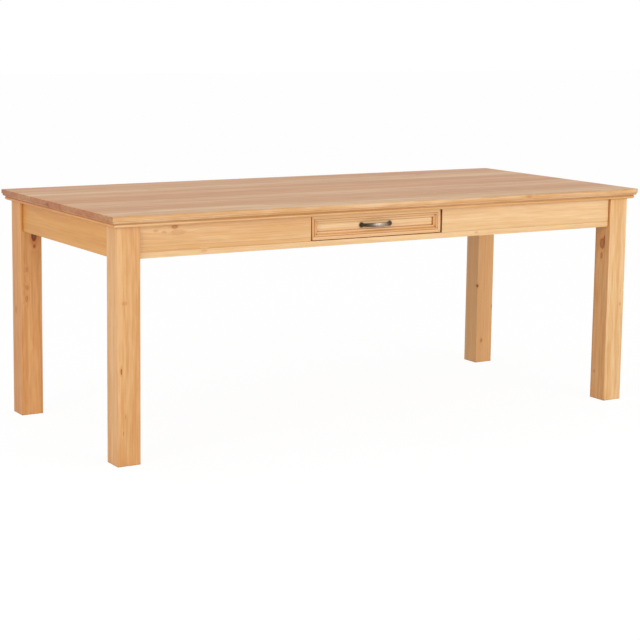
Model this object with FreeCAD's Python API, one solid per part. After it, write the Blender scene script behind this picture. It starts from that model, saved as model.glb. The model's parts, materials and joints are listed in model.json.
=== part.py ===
import FreeCAD, Part
import math
import os

from FreeCAD import Vector

# Pine farmhouse dining table with one inset drawer under its long front side.
# Millimetres. +X runs along the table, to the right as seen from the drawer side, +Y runs from the
# drawer side to the back and +Z is up. The origin is on the floor under the centre of the top.

# ---------------------------------------------------------------- driving dimensions

# Whole table, over the moulded edge of the top
table_length = 2000.0
table_width = 880.0
table_height = 750.0

# Top: edge-glued boards with a mitred doubling frame glued under their rim
top_thickness = 24.0
top_board_count = 7
frame_thickness = 10.0
frame_cover = 5.0               # the frame reaches this far in past the legs

# Moulding round the top: nose, step and ovolo on the boards, then a quirk and a second ovolo, which
# are on the doubling frame
nose_height = 14.2
nose_arris_radius = 2.0
nose_lip_radius = 1.2
nose_step = 3.0
ovolo_fillet = 3.0
ovolo_radius = 4.8
quirk_step = 2.2
quirk_height = 2.0              # on the frame
lower_ovolo_rise = 1.5          # stands out from the quirk
lower_ovolo_fillet = 3.5
lower_ovolo_radius = 4.0

# Legs: square posts with a flat cut on the inner corner where the corner block bears
leg_side = 75.0
leg_overhang = 25.0             # from the nose of the top in to the leg's face
leg_edge_radius = 2.5
leg_flat_cut = 20.0

# Aprons
apron_height = 98.0
apron_thickness = 22.0
apron_setback = 10.0            # from the leg's face in to the apron's face
apron_edge_radius = 1.5
front_rail_height = 18.0        # strip that runs on under the drawer

# Corner blocks and the hanger bolts that draw the legs against them
corner_block_thickness = 30.0
corner_block_height = 70.0
bolt_radius = 4.0
bolt_depth_in_leg = 45.0
bolt_spacing = 34.0
bolt_tail = 4.0                 # thread left showing past the nut
bolt_hole_clearance = 0.5
washer_radius = 12.0
washer_thickness = 2.0
nut_across_flats = 13.0
nut_height = 6.5
thread_clearance = 0.05

# Wood screws. Small fasteners and their bores are many-sided instead of round
screw_sides = 6
bolt_sides = 8
washer_sides = 14
screw_shank_radius = 2.0
screw_head_radius = 4.0
screw_point = 4.0
screw_tip_radius = 0.6
screw_clearance = 0.05
block_screw_length = 38.0
block_screw_cover = 3.0         # wood left between a screw's point and the apron's face
batten_screw_length = 30.0
bracket_screw_length = 18.0
bottom_screw_length = 20.0
screw_bite_in_top = 12.0        # how far the kickers' and pull stop's screws go into the top
bore_room = 1.0                 # a pilot bore runs this far past the point

# Angle brackets that hold the top to the aprons
bracket_reach = 28.0
bracket_width = 20.0
bracket_thickness = 2.5
bracket_inner_radius = 0.5
bracket_corner_cut = 4.0
bracket_screw_place = 17.0      # from the bracket's corner to its screw
bracket_from_leg = 140.0        # from a leg's inner face to the nearest bracket

# Cross rails between the long aprons, one on each side of the drawer
cross_rail_thickness = 22.0
cross_rail_height = 60.0        # below the underside of the doubling frame
housing_depth = 6.0             # how far a rail's ends are let into the aprons

# Drawer opening in the front apron
opening_width = 500.0
opening_centre = -60.0          # left of the table's middle

# Drawer front
front_side_gap = 4.0
front_top_gap = 2.0
front_bottom_gap = 1.5
front_setback = 3.0             # from the apron's face in to the moulding's face
panel_thickness = 14.0

# Mitred moulding glued round the drawer front: lip, slope, bead between two quirks, cove, fillet
moulding_height = 13.0
moulding_arris_radius = 1.0
moulding_lip = 4.0
moulding_slope_width = 6.5
moulding_slope_fall = 1.4
moulding_quirk_depth = 2.2
moulding_outer_quirk = 1.2
moulding_bead_radius = 2.2
moulding_inner_quirk = 0.8
moulding_cove_radius = 5.3
moulding_fillet = 2.6

# Drawer box
side_thickness = 12.0
drawer_depth = 380.0            # length of the drawer's sides
side_rabbet_depth = 7.0         # how far a side's end is let into the front panel
back_housing_depth = 4.0        # how far the back's ends are let into the sides
drawer_side_headroom = 4.0      # the sides' upper edge below the doubling frame
drawer_back_drop = 6.0          # the back is this much lower than the sides
bottom_thickness = 5.0
bottom_height = 8.0             # groove above the sides' lower edge
groove_depth = 6.0
groove_clearance = 0.2

# Drawer's running gear
running_gap = 0.3
drawer_side_gap = 2.0           # between the drawer's side and its guide
guide_thickness = 18.0
runner_thickness = 16.0
runner_reach = 18.0             # from the guide in under the drawer's side
kicker_reach = 16.0
runner_screw_inset = 95.0       # from an apron's inner face to the runner's end screw
kicker_screw_inset = 135.0      # from the doubling frame to the kicker's screw
stop_length = 30.0
stop_height = 20.0
pull_stop_length = 48.0         # along the drawer's travel, from the doubling frame
pull_stop_width = 60.0
pull_stop_overlap = 6.0         # how much of the drawer's back it catches
pull_stop_screw_spacing = 30.0

# Bow handle
handle_spacing = 108.0
handle_projection = 24.0
handle_end_rise = 9.0           # outer face of the strap over the centre of a foot
handle_strap_thickness = 3.2
handle_end_width = 10.6
handle_middle_width = 13.0
foot_radius = 9.0
foot_rim_height = 1.8
foot_rim_width = 1.8
foot_post_radius = 4.0
foot_hollow = 0.4
handle_screw_radius = 2.0
handle_screw_bite = 5.5
handle_screw_head_radius = 4.0
handle_screw_crown_radius = 2.8
handle_screw_head_height = 2.4
handle_screw_rim_height = 1.0
handle_screw_hole_clearance = 0.3

# ---------------------------------------------------------------- worked-out places

quirk_inset = nose_step + ovolo_radius + quirk_step
lower_ovolo_inset = quirk_inset - lower_ovolo_rise
frame_inner_inset = leg_overhang + leg_side + frame_cover
top_underside = table_height - top_thickness
leg_height = top_underside - frame_thickness

leg_outer_x = table_length / 2 - leg_overhang
leg_outer_y = table_width / 2 - leg_overhang
leg_inner_x = leg_outer_x - leg_side
leg_inner_y = leg_outer_y - leg_side

apron_face_x = leg_outer_x - apron_setback
apron_face_y = leg_outer_y - apron_setback
apron_inner_x = apron_face_x - apron_thickness
apron_inner_y = apron_face_y - apron_thickness
apron_bottom = leg_height - apron_height
rail_top = apron_bottom + front_rail_height

frame_inner_x = table_length / 2 - frame_inner_inset
frame_inner_y = table_width / 2 - frame_inner_inset

# A leg's flat lies on x + y = flat_sum in the quarter where both are positive
flat_sum = leg_inner_x + leg_inner_y + leg_flat_cut
block_sum = flat_sum - corner_block_thickness * math.sqrt(2)
block_bottom = apron_bottom + (apron_height - corner_block_height) / 2
block_top = block_bottom + corner_block_height
block_middle = (block_bottom + block_top) / 2
bolt_outer_end = corner_block_thickness + washer_thickness + nut_height + bolt_tail

opening_left = opening_centre - opening_width / 2
opening_right = opening_centre + opening_width / 2

# Midway between the drawer's opening and the legs
cross_rail_places = ((opening_left - leg_inner_x) / 2, (opening_right + leg_inner_x) / 2)
outer_bracket_x = leg_inner_x - bracket_from_leg
guide_outer_right = opening_right + guide_thickness
middle_bracket_x = (guide_outer_right + cross_rail_places[1] - cross_rail_thickness / 2) / 2

guide_proud = front_side_gap - drawer_side_gap
front_left = opening_left + front_side_gap
front_right = opening_right - front_side_gap
front_bottom = rail_top + front_bottom_gap
front_top = leg_height - front_top_gap
front_middle = (front_bottom + front_top) / 2
moulding_face_y = -apron_face_y + front_setback
panel_face_y = moulding_face_y + moulding_height
panel_back_y = panel_face_y + panel_thickness
slope_end = moulding_lip + moulding_slope_width
bead_start = slope_end + moulding_outer_quirk
cove_start = bead_start + 2 * moulding_bead_radius + moulding_inner_quirk
moulding_width = cove_start + moulding_cove_radius + moulding_fillet
quirk_floor = moulding_height - moulding_quirk_depth

side_outer_left = front_left
side_outer_right = front_right
side_inner_left = side_outer_left + side_thickness
side_inner_right = side_outer_right - side_thickness
side_front_y = panel_back_y - side_rabbet_depth
side_bottom = front_bottom
side_top = leg_height - drawer_side_headroom
side_end_y = panel_back_y + drawer_depth
bottom_low = side_bottom + bottom_height
bottom_high = bottom_low + bottom_thickness
drawer_back_y = side_end_y - side_thickness
drawer_back_top = side_top - drawer_back_drop
runner_top = side_bottom - running_gap
pull_stop_low = drawer_back_top - pull_stop_overlap

# ---------------------------------------------------------------- shared helpers


def block(x_span, y_span, z_span):
    """Rectangular solid between two values along each axis."""
    size = (x_span[1] - x_span[0], y_span[1] - y_span[0], z_span[1] - z_span[0])
    return Part.makeBox(*size, Vector(x_span[0], y_span[0], z_span[0]))


def outline(start, steps):
    """Wire from a start point: a step is a point to go straight to, or an arc's (middle, end)."""
    edges = []
    here = start
    for step in steps:
        if isinstance(step, tuple):
            edges.append(Part.Arc(here, step[0], step[1]).toShape())
            here = step[1]
        else:
            edges.append(Part.LineSegment(here, step).toShape())
            here = step
    return Part.Wire(edges)


def polygon_prism(points, z_span):
    """Upright prism over a list of (x, y) corners."""
    corners = [Vector(x, y, z_span[0]) for x, y in points]
    face = Part.Face(Part.makePolygon(corners + corners[:1]))
    return face.extrude(Vector(0, 0, z_span[1] - z_span[0]))


def sided(rings, base, direction, sides):
    """Many-sided solid along an axis, through rings given as (radius, distance along the axis)."""
    angles = [2 * math.pi * index / sides for index in range(sides)]
    loops = []
    for radius, along in rings:
        loop = [Vector(radius * math.cos(a), radius * math.sin(a), along) for a in angles]
        loops.append(loop + loop[:1])
    faces = [Part.Face(Part.makePolygon(loops[0][::-1])), Part.Face(Part.makePolygon(loops[-1]))]
    for low, high in zip(loops, loops[1:]):
        for index in range(sides):
            corners = [low[index], low[index + 1], high[index + 1], high[index], low[index]]
            faces.append(Part.Face(Part.makePolygon(corners)))
    solid = Part.makeSolid(Part.makeShell(faces))
    solid.Placement = FreeCAD.Placement(base, FreeCAD.Rotation(Vector(0, 0, 1), direction))
    return solid


def bar(radius, length, base, direction, sides=bolt_sides):
    """Straight many-sided bar."""
    return sided([(radius, 0), (radius, length)], base, direction, sides)


def round_edges(shape, radius, chosen):
    """Round the edges whose centre of mass passes the test."""
    return shape.makeFillet(radius, [edge for edge in shape.Edges if chosen(edge.CenterOfMass)])


def near(a, b):
    return abs(a - b) < 0.001


def cut_by(shape, cutters):
    """Cut away only the cutters whose boxes meet the shape's box."""
    met = [cutter for cutter in cutters if shape.BoundBox.intersect(cutter.BoundBox)]
    return shape.cut(met) if met else shape


def mirrored(shape, flip_x, flip_y):
    """Copy for another quarter of the table."""
    if flip_x:
        shape = shape.mirror(Vector(0, 0, 0), Vector(1, 0, 0))
    if flip_y:
        shape = shape.mirror(Vector(0, 0, 0), Vector(0, 1, 0))
    return shape


def in_every_quarter(shapes):
    """Copies of some shapes of the +X +Y quarter in all four quarters."""
    flips = ((False, False), (True, False), (False, True), (True, True))
    return [mirrored(shape, *flip) for flip in flips for shape in shapes]


# ---------------------------------------------------------------- fasteners


def wood_screw(head, direction, length):
    """Countersunk wood screw, its head flush at the given point."""
    cone = screw_head_radius - screw_shank_radius
    rings = [
        (screw_head_radius, 0),
        (screw_shank_radius, cone),
        (screw_shank_radius, length - screw_point),
        (screw_tip_radius, length),
    ]
    return sided(rings, head, direction, screw_sides)


def screw_bore(head, direction, length):
    """Pilot bore and countersink for a wood screw, open above the head."""
    cone = screw_head_radius - screw_shank_radius
    wide = screw_head_radius + screw_clearance
    slim = screw_shank_radius + screw_clearance
    rings = [(wide, -bore_room), (wide, 0), (slim, cone), (slim, length + bore_room)]
    return sided(rings, head, direction, screw_sides)


def bolt_axes():
    """Where each hanger bolt of the +X +Y quarter crosses the leg's flat, and its direction."""
    flat_x = leg_inner_x + leg_flat_cut / 2
    flat_y = leg_inner_y + leg_flat_cut / 2
    into_leg = Vector(1, 1, 0).normalize()
    heights = (block_middle - bolt_spacing / 2, block_middle + bolt_spacing / 2)
    return [(Vector(flat_x, flat_y, z), into_leg) for z in heights]


def hanger_bolts():
    bolts = []
    for place, into_leg in bolt_axes():
        length = bolt_outer_end + bolt_depth_in_leg
        rings = [(bolt_radius, 0), (bolt_radius, length - bolt_radius), (bolt_radius / 2, length)]
        bolts.append(sided(rings, place - into_leg * bolt_outer_end, into_leg, bolt_sides))
    return in_every_quarter(bolts)


def bolt_bores():
    """Tight bore in the leg and clearance hole through the corner block."""
    bores = []
    for place, into_leg in bolt_axes():
        tight = bolt_radius + thread_clearance
        loose = bolt_radius + bolt_hole_clearance
        bores.append(bar(tight, bolt_depth_in_leg + bore_room, place, into_leg))
        bores.append(bar(loose, bolt_outer_end, place - into_leg * bolt_outer_end, into_leg))
    return in_every_quarter(bores)


def bolt_washers():
    washers = []
    for place, into_leg in bolt_axes():
        seat = place - into_leg * (corner_block_thickness + washer_thickness)
        disc = bar(washer_radius, washer_thickness, seat, into_leg, washer_sides)
        hole = bar(bolt_radius + bolt_hole_clearance, washer_thickness, seat, into_leg)
        washers.append(disc.cut(hole))
    return in_every_quarter(washers)


def bolt_nuts():
    nuts = []
    corner = nut_across_flats / 2 / math.cos(math.pi / 6)
    for place, into_leg in bolt_axes():
        seat = place - into_leg * (corner_block_thickness + washer_thickness + nut_height)
        nut = bar(corner, nut_height, seat, into_leg, 6)
        hole = bar(bolt_radius + thread_clearance, nut_height, seat, into_leg)
        nuts.append(nut.cut(hole))
    return in_every_quarter(nuts)


def block_screw_places():
    """Screws of one corner block, in the +X +Y quarter: head, direction."""
    middle_sum = (flat_sum + block_sum) / 2
    head_y = apron_face_y - block_screw_cover - block_screw_length
    head_x = apron_face_x - block_screw_cover - block_screw_length
    return [
        (Vector(middle_sum - apron_inner_y, head_y, block_middle), Vector(0, 1, 0)),
        (Vector(head_x, middle_sum - apron_inner_x, block_middle), Vector(1, 0, 0)),
    ]


def batten_screw_places():
    """Screws of the drawer's runners, kickers and pull stop, driven upwards: head, and length."""
    places = []
    runner_y = apron_inner_y - runner_screw_inset
    kicker_y = frame_inner_y - kicker_screw_inset
    for edge, outward in ((opening_left, -1), (opening_right, 1)):
        guide_x = edge + outward * guide_thickness / 2
        for y in (-runner_y, 0, runner_y):
            places.append((Vector(guide_x, y, runner_top - runner_thickness), batten_screw_length))
        kicker_x = edge - outward * kicker_reach / 2
        for y in (-kicker_y, kicker_y):
            places.append((Vector(kicker_x, y, leg_height), frame_thickness + screw_bite_in_top))
    pull_stop_y = -frame_inner_y + pull_stop_length / 2
    pull_stop_screw_length = top_underside - pull_stop_low + screw_bite_in_top
    for side in (-1, 1):
        x = opening_centre + side * pull_stop_screw_spacing / 2
        places.append((Vector(x, pull_stop_y, pull_stop_low), pull_stop_screw_length))
    return places


def bracket_seats():
    """Inner corner of each angle bracket, and the direction in which it reaches away."""
    seats = [
        (Vector(-apron_inner_x, 0, leg_height), 0),
        (Vector(apron_inner_x, 0, leg_height), 180),
    ]
    for x in (-outer_bracket_x, middle_bracket_x, outer_bracket_x):
        seats.append((Vector(x, -apron_inner_y, leg_height), 90))
        seats.append((Vector(x, apron_inner_y, leg_height), -90))
    return seats


def set_on_seat(shape, seat):
    """Move a shape from the bracket's own frame to its seat."""
    shape.Placement = FreeCAD.Placement(
        seat[0], FreeCAD.Rotation(Vector(0, 0, 1), seat[1])
    ).multiply(shape.Placement)
    return shape


def bracket_screw_places():
    """Screws of a bracket in its own frame: one up into the top, one into the apron."""
    up = (Vector(bracket_screw_place, 0, -bracket_thickness), Vector(0, 0, 1))
    across = (Vector(bracket_thickness, 0, -bracket_screw_place), Vector(-1, 0, 0))
    return (up, across)


def is_bracket_tip(point):
    at_end = near(point.x, bracket_reach) or near(point.z, -bracket_reach)
    return at_end and near(abs(point.y), bracket_width / 2)


def angle_bracket():
    """Bent strip: one leg up against the doubling frame, one down the apron's inner face."""
    inner = bracket_inner_radius
    outer = inner + bracket_thickness
    turn = 1 - math.sqrt(0.5)
    wire = outline(
        Vector(0, 0, -bracket_reach),
        [
            Vector(0, 0, -outer),
            (Vector(outer * turn, 0, -outer * turn), Vector(outer, 0, 0)),
            Vector(bracket_reach, 0, 0),
            Vector(bracket_reach, 0, -bracket_thickness),
            Vector(bracket_thickness + inner, 0, -bracket_thickness),
            (
                Vector(bracket_thickness + inner * turn, 0, -bracket_thickness - inner * turn),
                Vector(bracket_thickness, 0, -bracket_thickness - inner),
            ),
            Vector(bracket_thickness, 0, -bracket_reach),
            Vector(0, 0, -bracket_reach),
        ],
    )
    strip = Part.Face(wire).extrude(Vector(0, bracket_width, 0))
    strip.translate(Vector(0, -bracket_width / 2, 0))
    tips = [edge for edge in strip.Edges if is_bracket_tip(edge.CenterOfMass)]
    strip = strip.makeChamfer(bracket_corner_cut, tips)
    bores = [screw_bore(head, way, bracket_screw_length) for head, way in bracket_screw_places()]
    return strip.cut(bores)


def angle_brackets():
    return [set_on_seat(angle_bracket(), seat) for seat in bracket_seats()]


def bracket_screws(make):
    """Every bracket's screws, or with screw_bore their bores."""
    shapes = []
    for seat in bracket_seats():
        for head, way in bracket_screw_places():
            shapes.append(set_on_seat(make(head, way, bracket_screw_length), seat))
    return shapes


def corner_block_screws(make):
    screws = [make(head, way, block_screw_length) for head, way in block_screw_places()]
    return in_every_quarter(screws)


def batten_screws(make):
    return [make(head, Vector(0, 0, 1), length) for head, length in batten_screw_places()]


# ---------------------------------------------------------------- top


def top_edge(reach):
    """Edge of the top boards in the XZ plane, from the upper to the lower face."""
    turn = 1 - math.sqrt(0.5)
    arris = nose_arris_radius
    lip = nose_lip_radius
    z = table_height
    nose_bottom = z - nose_height
    ovolo_x = reach - nose_step
    ovolo_top = nose_bottom - ovolo_fillet
    ovolo_bottom = ovolo_top - ovolo_radius
    return outline(
        Vector(reach - arris, 0, z),
        [
            (Vector(reach - arris * turn, 0, z - arris * turn), Vector(reach, 0, z - arris)),
            Vector(reach, 0, nose_bottom + lip),
            (
                Vector(reach - lip * turn, 0, nose_bottom + lip * turn),
                Vector(reach - lip, 0, nose_bottom),
            ),
            Vector(ovolo_x, 0, nose_bottom),
            Vector(ovolo_x, 0, ovolo_top),
            (
                Vector(
                    ovolo_x - ovolo_radius * turn, 0, ovolo_top - ovolo_radius * math.sqrt(0.5)
                ),
                Vector(ovolo_x - ovolo_radius, 0, ovolo_bottom),
            ),
            Vector(reach - quirk_inset, 0, ovolo_bottom),
            Vector(reach - quirk_inset, 0, top_underside),
        ],
    )


def frame_edge(reach):
    """Edge of the doubling frame in the XZ plane, from its upper to its lower face."""
    turn = 1 - math.sqrt(0.5)
    radius = lower_ovolo_radius
    x = reach - lower_ovolo_inset
    ovolo_start = top_underside - quirk_height
    ovolo_top = ovolo_start - lower_ovolo_fillet
    ovolo_bottom = ovolo_top - radius
    return outline(
        Vector(reach - quirk_inset, 0, top_underside),
        [
            Vector(reach - quirk_inset, 0, ovolo_start),
            Vector(x, 0, ovolo_start),
            Vector(x, 0, ovolo_top),
            (
                Vector(x - radius * turn, 0, ovolo_top - radius * math.sqrt(0.5)),
                Vector(x - radius, 0, ovolo_bottom),
            ),
            Vector(x - radius, 0, leg_height),
        ],
    )


def moulded_prism(edge, reach, run):
    """Prism along Y whose two long sides follow the same edge outline."""
    right = edge(reach)
    left = right.mirror(Vector(0, 0, 0), Vector(1, 0, 0))
    upper = Part.LineSegment(left.Vertexes[0].Point, right.Vertexes[0].Point).toShape()
    lower = Part.LineSegment(left.Vertexes[-1].Point, right.Vertexes[-1].Point).toShape()
    edges = Part.sortEdges(right.Edges + left.Edges + [upper, lower])[0]
    prism = Part.Face(Part.Wire(edges)).extrude(Vector(0, 2 * run, 0))
    prism.translate(Vector(0, -run, 0))
    return prism


def moulded_prisms(edge):
    """One moulded prism along X and one along Y, each as long as the top."""
    half_length = table_length / 2
    half_width = table_width / 2
    along_y = moulded_prism(edge, half_length, half_width)
    along_x = moulded_prism(edge, half_width, half_length)
    along_x.rotate(Vector(0, 0, 0), Vector(0, 0, 1), 90)
    return along_x, along_y


def top_boards(bores):
    """Equal boards along X, cut from one slab: two prisms crossed, so that the moulding mitres."""
    along_x, along_y = moulded_prisms(top_edge)
    slab = along_x.common(along_y)
    width = table_width / top_board_count
    boards = []
    for index in range(top_board_count):
        low = -table_width / 2 + index * width
        strip = block(
            (-table_length / 2, table_length / 2), (low, low + width), (top_underside, table_height)
        )
        boards.append(cut_by(slab.common(strip), bores))
    return boards


def frame_strips(bores):
    """Front, right, back and left strips of the doubling frame, mitred at the corners."""
    half_length = table_length / 2
    half_width = table_width / 2
    z_span = (leg_height, top_underside)
    hole = block((-frame_inner_x, frame_inner_x), (-frame_inner_y, frame_inner_y), z_span)
    ridge = half_length - half_width
    front = [(-half_length, -half_width), (half_length, -half_width), (ridge, 0), (-ridge, 0)]
    right = [(half_length, -half_width), (half_length, half_width), (ridge, 0)]
    back = [(-x, -y) for x, y in front]
    left = [(-x, -y) for x, y in right]
    along_x, along_y = moulded_prisms(frame_edge)
    strips = []
    for prism, points in ((along_x, front), (along_y, right), (along_x, back), (along_y, left)):
        strip = prism.common(polygon_prism(points, z_span)).cut(hole)
        strips.append(cut_by(strip, bores))
    return strips


# ---------------------------------------------------------------- legs, aprons and blocks


def leg():
    """Leg of the +X +Y quarter: a post with eased edges, cut flat where the block bears."""
    post = block((leg_inner_x, leg_outer_x), (leg_inner_y, leg_outer_y), (0, leg_height))
    post = round_edges(post, leg_edge_radius, lambda point: near(point.z, leg_height / 2))
    corner = [
        (leg_inner_x, leg_inner_y),
        (leg_inner_x + leg_flat_cut, leg_inner_y),
        (leg_inner_x, leg_inner_y + leg_flat_cut),
    ]
    return post.cut(polygon_prism(corner, (apron_bottom, leg_height)))


def legs(bores):
    """All four legs: front left, front right, back left, back right."""
    quarter = leg()
    flips = ((True, True), (False, True), (True, False), (False, False))
    return [cut_by(mirrored(quarter, *flip), bores) for flip in flips]


def apron_board(x_span, y_span, z_span, face_test, bores):
    """Apron board with its lower outer edge eased."""
    board = block(x_span, y_span, z_span)

    def lower_outer(point):
        return near(point.z, z_span[0]) and face_test(point)

    return cut_by(round_edges(board, apron_edge_radius, lower_outer), bores)


def end_apron(side, bores):
    """Apron at one end of the table; side is -1 for left and 1 for right."""
    x_span = sorted((side * apron_inner_x, side * apron_face_x))
    y_span = (-leg_inner_y, leg_inner_y)
    z_span = (apron_bottom, leg_height)
    return apron_board(x_span, y_span, z_span, lambda p: near(p.x, side * apron_face_x), bores)


def back_apron(bores):
    x_span = (-leg_inner_x, leg_inner_x)
    y_span = (apron_inner_y, apron_face_y)
    z_span = (apron_bottom, leg_height)
    return apron_board(x_span, y_span, z_span, lambda p: near(p.y, apron_face_y), bores)


def front_rail(bores):
    """Full-length strip under the drawer and under both upper boards of the front apron."""
    x_span = (-leg_inner_x, leg_inner_x)
    y_span = (-apron_face_y, -apron_inner_y)
    z_span = (apron_bottom, rail_top)
    return apron_board(x_span, y_span, z_span, lambda p: near(p.y, -apron_face_y), bores)


def front_upper_board(x_span, bores):
    """Board of the front apron beside the drawer, glued on the front rail."""
    board = block(x_span, (-apron_face_y, -apron_inner_y), (rail_top, leg_height))
    return cut_by(board, bores)


def corner_block():
    """Diagonal block of the +X +Y quarter, glued and screwed between two aprons."""
    points = [
        (flat_sum - apron_inner_y, apron_inner_y),
        (block_sum - apron_inner_y, apron_inner_y),
        (apron_inner_x, block_sum - apron_inner_x),
        (apron_inner_x, flat_sum - apron_inner_x),
    ]
    solid = polygon_prism(points, (block_bottom, block_top))
    cuts = []
    for head, way in block_screw_places():
        pocket_start = head - way * corner_block_thickness
        pocket_radius = screw_head_radius + screw_clearance
        cuts.append(bar(pocket_radius, corner_block_thickness, pocket_start, way, screw_sides))
        cuts.append(screw_bore(head, way, block_screw_length))
    return solid.cut(cuts)


def corner_blocks(bores):
    quarter = corner_block()
    flips = ((True, True), (False, True), (True, False), (False, False))
    return [cut_by(mirrored(quarter, *flip), bores) for flip in flips]


def cross_rail_bar(x):
    """Straight part of a cross rail, let into both long aprons."""
    x_span = (x - cross_rail_thickness / 2, x + cross_rail_thickness / 2)
    reach = apron_inner_y + housing_depth
    return block(x_span, (-reach, reach), (leg_height - cross_rail_height, leg_height))


def cross_rail(x):
    """Rail on edge between the long aprons, standing up between the doubling strips to the top."""
    x_span = (x - cross_rail_thickness / 2, x + cross_rail_thickness / 2)
    crest = block(x_span, (-frame_inner_y, frame_inner_y), (leg_height, top_underside))
    return cross_rail_bar(x).fuse(crest).removeSplitter()


# ---------------------------------------------------------------- drawer's running gear


def beside_opening(edge, outward, inner, outer):
    """X span beside one edge of the opening: inner reaches under the drawer, outer away from it."""
    return sorted((edge - outward * inner, edge + outward * outer))


def drawer_runner(edge, outward, bores):
    """Strip that the drawer's side slides on."""
    x_span = beside_opening(edge, outward, runner_reach, guide_thickness)
    z_span = (runner_top - runner_thickness, runner_top)
    return cut_by(block(x_span, (-apron_inner_y, apron_inner_y), z_span), bores)


def drawer_guide(edge, outward, bores):
    """Upright strip that keeps the drawer straight. It stands a little into the opening."""
    x_span = beside_opening(edge, outward, guide_proud, guide_thickness)
    return cut_by(block(x_span, (-apron_inner_y, apron_inner_y), (runner_top, leg_height)), bores)


def drawer_kicker(edge, outward, bores):
    """Strip under the top that stops the open drawer from tipping."""
    x_span = beside_opening(edge, outward, kicker_reach, guide_thickness)
    y_span = (-frame_inner_y, frame_inner_y)
    return cut_by(block(x_span, y_span, (leg_height, top_underside)), bores)


def drawer_stop(edge, outward):
    """Block on the runner, against its guide, that the closed drawer comes up against."""
    x_span = beside_opening(edge, outward, runner_reach, -guide_proud)
    y_span = (side_end_y + running_gap, side_end_y + running_gap + stop_length)
    return block(x_span, y_span, (runner_top, runner_top + stop_height))


def drawer_pull_stop(bores):
    """Block under the top that catches the drawer's back when it is fully open."""
    x_span = (opening_centre - pull_stop_width / 2, opening_centre + pull_stop_width / 2)
    y_span = (-frame_inner_y, -frame_inner_y + pull_stop_length)
    return cut_by(block(x_span, y_span, (pull_stop_low, top_underside)), bores)


# ---------------------------------------------------------------- drawer


def handle_feet():
    """Centres of the handle's feet on the front panel."""
    half = handle_spacing / 2
    return [Vector(opening_centre + way * half, panel_face_y, front_middle) for way in (-1, 1)]


def drawer_panel():
    """Core board of the drawer front, rabbeted for the sides and grooved for the bottom."""
    y_span = (panel_face_y, panel_back_y)
    panel = block((front_left, front_right), y_span, (front_bottom, front_top))
    groove = block(
        (side_inner_left - groove_depth, side_inner_right + groove_depth),
        (panel_back_y - groove_depth, panel_back_y),
        (bottom_low, bottom_high + groove_clearance),
    )
    cuts = [groove]
    for side_x in ((side_outer_left, side_inner_left), (side_inner_right, side_outer_right)):
        cuts.append(block(side_x, (side_front_y, panel_back_y), (front_bottom, side_top)))
    hole_radius = handle_screw_radius + handle_screw_hole_clearance
    for foot in handle_feet():
        cuts.append(bar(hole_radius, panel_thickness, foot, Vector(0, 1, 0)))
    return panel.cut(cuts)


def moulding_section():
    """Moulding in its own frame: X in from the outer edge, Y out from the panel."""
    turn = 1 - math.sqrt(0.5)
    arris = moulding_arris_radius
    top = moulding_height
    bead = moulding_bead_radius
    cove = moulding_cove_radius
    wire = outline(
        Vector(0, 0, 0),
        [
            Vector(0, top - arris, 0),
            (Vector(arris * turn, top - arris * turn, 0), Vector(arris, top, 0)),
            Vector(moulding_lip, top, 0),
            Vector(slope_end, top - moulding_slope_fall, 0),
            Vector(slope_end, quirk_floor, 0),
            Vector(bead_start, quirk_floor, 0),
            (
                Vector(bead_start + bead, quirk_floor + bead, 0),
                Vector(bead_start + 2 * bead, quirk_floor, 0),
            ),
            Vector(cove_start, quirk_floor, 0),
            (
                Vector(cove_start + cove * turn, quirk_floor - cove * math.sqrt(0.5), 0),
                Vector(cove_start + cove, quirk_floor - cove, 0),
            ),
            Vector(moulding_width, quirk_floor - cove, 0),
            Vector(moulding_width, 0, 0),
            Vector(0, 0, 0),
        ],
    )
    return Part.Face(wire)


def moulding_strip(start, inward, length):
    """Moulding along one edge of the drawer front, mitred at both ends.

    start is the left end of its outer edge as seen when the strip lies with inward pointing up.
    """
    outward = Vector(0, -1, 0)
    run = inward.cross(outward)
    strip = moulding_section().extrude(Vector(0, 0, length))
    strip_frame = FreeCAD.Matrix(inward, outward, run)
    strip_frame.move(start)
    mitre = [
        (0, 0),
        (length, 0),
        (length - moulding_width, moulding_width),
        (moulding_width, moulding_width),
    ]
    cutter = polygon_prism(mitre, (0, moulding_height))
    cutter_frame = FreeCAD.Matrix(run, inward, outward)
    cutter_frame.move(start)
    return strip.transformed(strip_frame).common(cutter.transformed(cutter_frame))


def drawer_mouldings():
    """Bottom, top, left and right strips round the drawer front."""
    width = front_right - front_left
    height = front_top - front_bottom
    up = Vector(0, 0, 1)
    right = Vector(1, 0, 0)
    y = panel_face_y
    return [
        moulding_strip(Vector(front_left, y, front_bottom), up, width),
        moulding_strip(Vector(front_right, y, front_top), up.negative(), width),
        moulding_strip(Vector(front_left, y, front_top), right, height),
        moulding_strip(Vector(front_right, y, front_bottom), right.negative(), height),
    ]


def drawer_side(x_span, inner_x, inward):
    """Side of the drawer, grooved for the bottom and housed for the back."""
    side = block(x_span, (side_front_y, side_end_y), (side_bottom, side_top))
    groove = block(
        sorted((inner_x, inner_x - inward * groove_depth)),
        (side_front_y, side_end_y),
        (bottom_low, bottom_high + groove_clearance),
    )
    housing = block(
        sorted((inner_x, inner_x - inward * back_housing_depth)),
        (drawer_back_y, side_end_y),
        (bottom_high, drawer_back_top),
    )
    return side.cut([groove, housing])


def drawer_back(bores):
    """Back of the drawer, between the sides and on the bottom panel."""
    board = block(
        (side_inner_left - back_housing_depth, side_inner_right + back_housing_depth),
        (drawer_back_y, side_end_y),
        (bottom_high, drawer_back_top),
    )
    return cut_by(board, bores)


def bottom_screw_places():
    middle_y = (drawer_back_y + side_end_y) / 2
    spread = (side_inner_right - side_inner_left) / 3
    return [Vector(opening_centre + way * spread, middle_y, bottom_low) for way in (-1, 0, 1)]


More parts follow.
